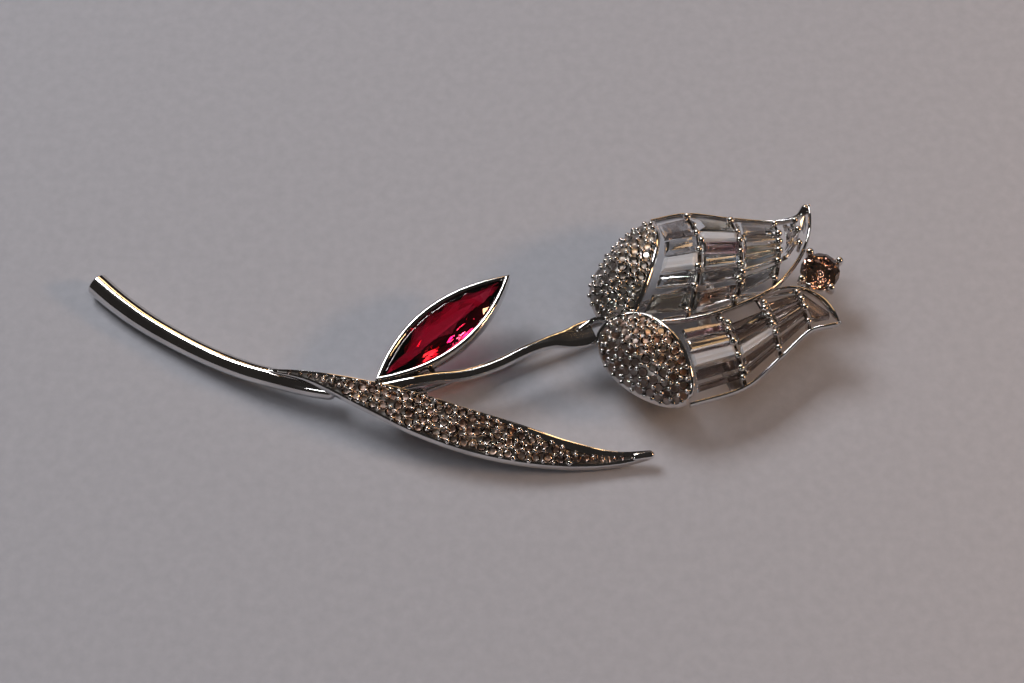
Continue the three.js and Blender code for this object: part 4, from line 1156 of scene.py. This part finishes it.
def catch_bridge():
    """The flat bar under both petals that carries the catch. Its darker metal is painted shade, so that it
    stays dark under the stones.
    """
    path = [p + UP * (BRIDGE_TOP - BRIDGE_THICKNESS / 2) for p in sample(bridge_line, 60)]
    half, thick, soft = BRIDGE_WIDTH / 2, BRIDGE_THICKNESS / 2, 0.1
    section = [(half, -thick + soft), (half, thick - soft), (half - soft, thick), (-half + soft, thick),
        (-half, thick - soft), (-half, -thick + soft), (-half + soft, -thick), (half - soft, -thick)]
    piece("back_bar", Shape().add(*sweep(path, lambda i: section)), SHADE_DARKENED_METAL, smooth=50,
        stands_for=["catch_bridge"])


# ---- the stage ----

def paper_floor():
    """A large sheet of pale paper with a fine grain."""
    material, tree, shader = start_material("pale_paper")
    fibres = noise(tree, 900, 6.0)
    colour = ramp(tree, fibres.outputs["Fac"], [(0.3, (0.43, 0.435, 0.46)), (0.7, (0.47, 0.475, 0.5))])
    tree.links.new(colour.outputs["Color"], shader.inputs["Base Color"])
    fill_in(shader, {"Roughness": 0.8, "Specular IOR Level": 0.15})
    bump(tree, shader, noise(tree, 1400, 4.0).outputs["Fac"], 0.35, 6e-5)
    mesh = bpy.data.meshes.new("paper")
    half = 1.5
    mesh.from_pydata([(x, y, 0) for x, y in rectangle(half, half)], [], [(0, 1, 2, 3)])
    mesh.materials.append(material)
    floor = linked("paper", mesh)


def area_light(name, place, target, width, height, power, colour, seen_in="both"):
    """A soft light, placed and aimed in millimetres. It may light dull surfaces only, or glints only."""
    data = bpy.data.lights.new(name, "AREA")
    data.shape = "RECTANGLE"
    data.size = width * MM
    data.size_y = height * MM
    data.energy = power
    data.color = colour
    light = linked(name, data)
    light.location = Vector(place) * MM
    light.rotation_euler = (Vector(target) - Vector(place)).to_track_quat("-Z", "Y").to_euler()
    light.visible_diffuse = seen_in != "glints"
    light.visible_glossy = seen_in != "dull"
    light.visible_transmission = seen_in != "dull"


def stage():
    paper_floor()
    world = bpy.data.worlds.new("studio")
    world.use_nodes = True
    bpy.context.scene.world = world
    background = world.node_tree.nodes["Background"]
    fill_in(background, {"Color": (0.5, 0.45, 0.42, 1), "Strength": 0.05})
    area_light("window", (-330, 380, 520), (10, 0, 0), 360, 280, 3.1, (0.95, 0.95, 1.0), "dull")
    area_light("overhead_fill", (60, -60, 620), (10, 0, 0), 560, 560, 0.9, (0.97, 0.95, 1.0), "dull")
    area_light("window_glint", (-200, 400, 540), (0, 0, 0), 260, 150, 2.6, (0.97, 0.98, 1.0), "glints")
    area_light("warm_wall", (120, 420, 330), (0, 0, 0), 420, 90, 0.5, (1.0, 0.62, 0.3), "glints")
    area_light("warm_side", (260, -30, 130), (20, 0, 0), 60, 40, 0.24, (1.0, 0.56, 0.28))
    area_light("front_glint", (-120, -260, 200), (0, 0, 0), 60, 12, 0.06, (0.96, 0.97, 1.0), "glints")


def photo_camera():
    """A short telephoto view from the front, well above the brooch."""
    elevation = math.radians(58)
    distance = 241.8
    target = Vector((4.5, 0, 0)) + SHIFT
    target.z = 0
    data = bpy.data.cameras.new("front")
    data.lens = 85
    data.sensor_width = 36
    data.clip_start = 0.005
    camera = linked("front", data)
    offset = Vector((0, -math.cos(elevation), math.sin(elevation))) * distance
    camera.location = (target + offset) * MM
    camera.rotation_euler = (-offset).to_track_quat("-Z", "Y").to_euler()
    bpy.context.scene.camera = camera


photo_camera()
stage()
lower_stem()
upper_stem()
leaf_body()
leaf_pave()
navette_bezel()
navette_stone()
bezel_strut()
for cup, seed in ((upper_cup, 5), (lower_cup, 8)):
    cup_shell(cup)
    cup_pave(cup, seed)
for petal, flare, seed in ((upper_petal, 0.3, 11), (lower_petal, 0.12, 14)):
    petal_frame(petal, flare)
    petal_beads(petal, seed)
cut_baguettes()
pistil()
pin_stem()
hinge_rivet()
hinge_base()
catch()
catch_bridge()
bpy.context.scene.view_settings.view_transform = "Standard"
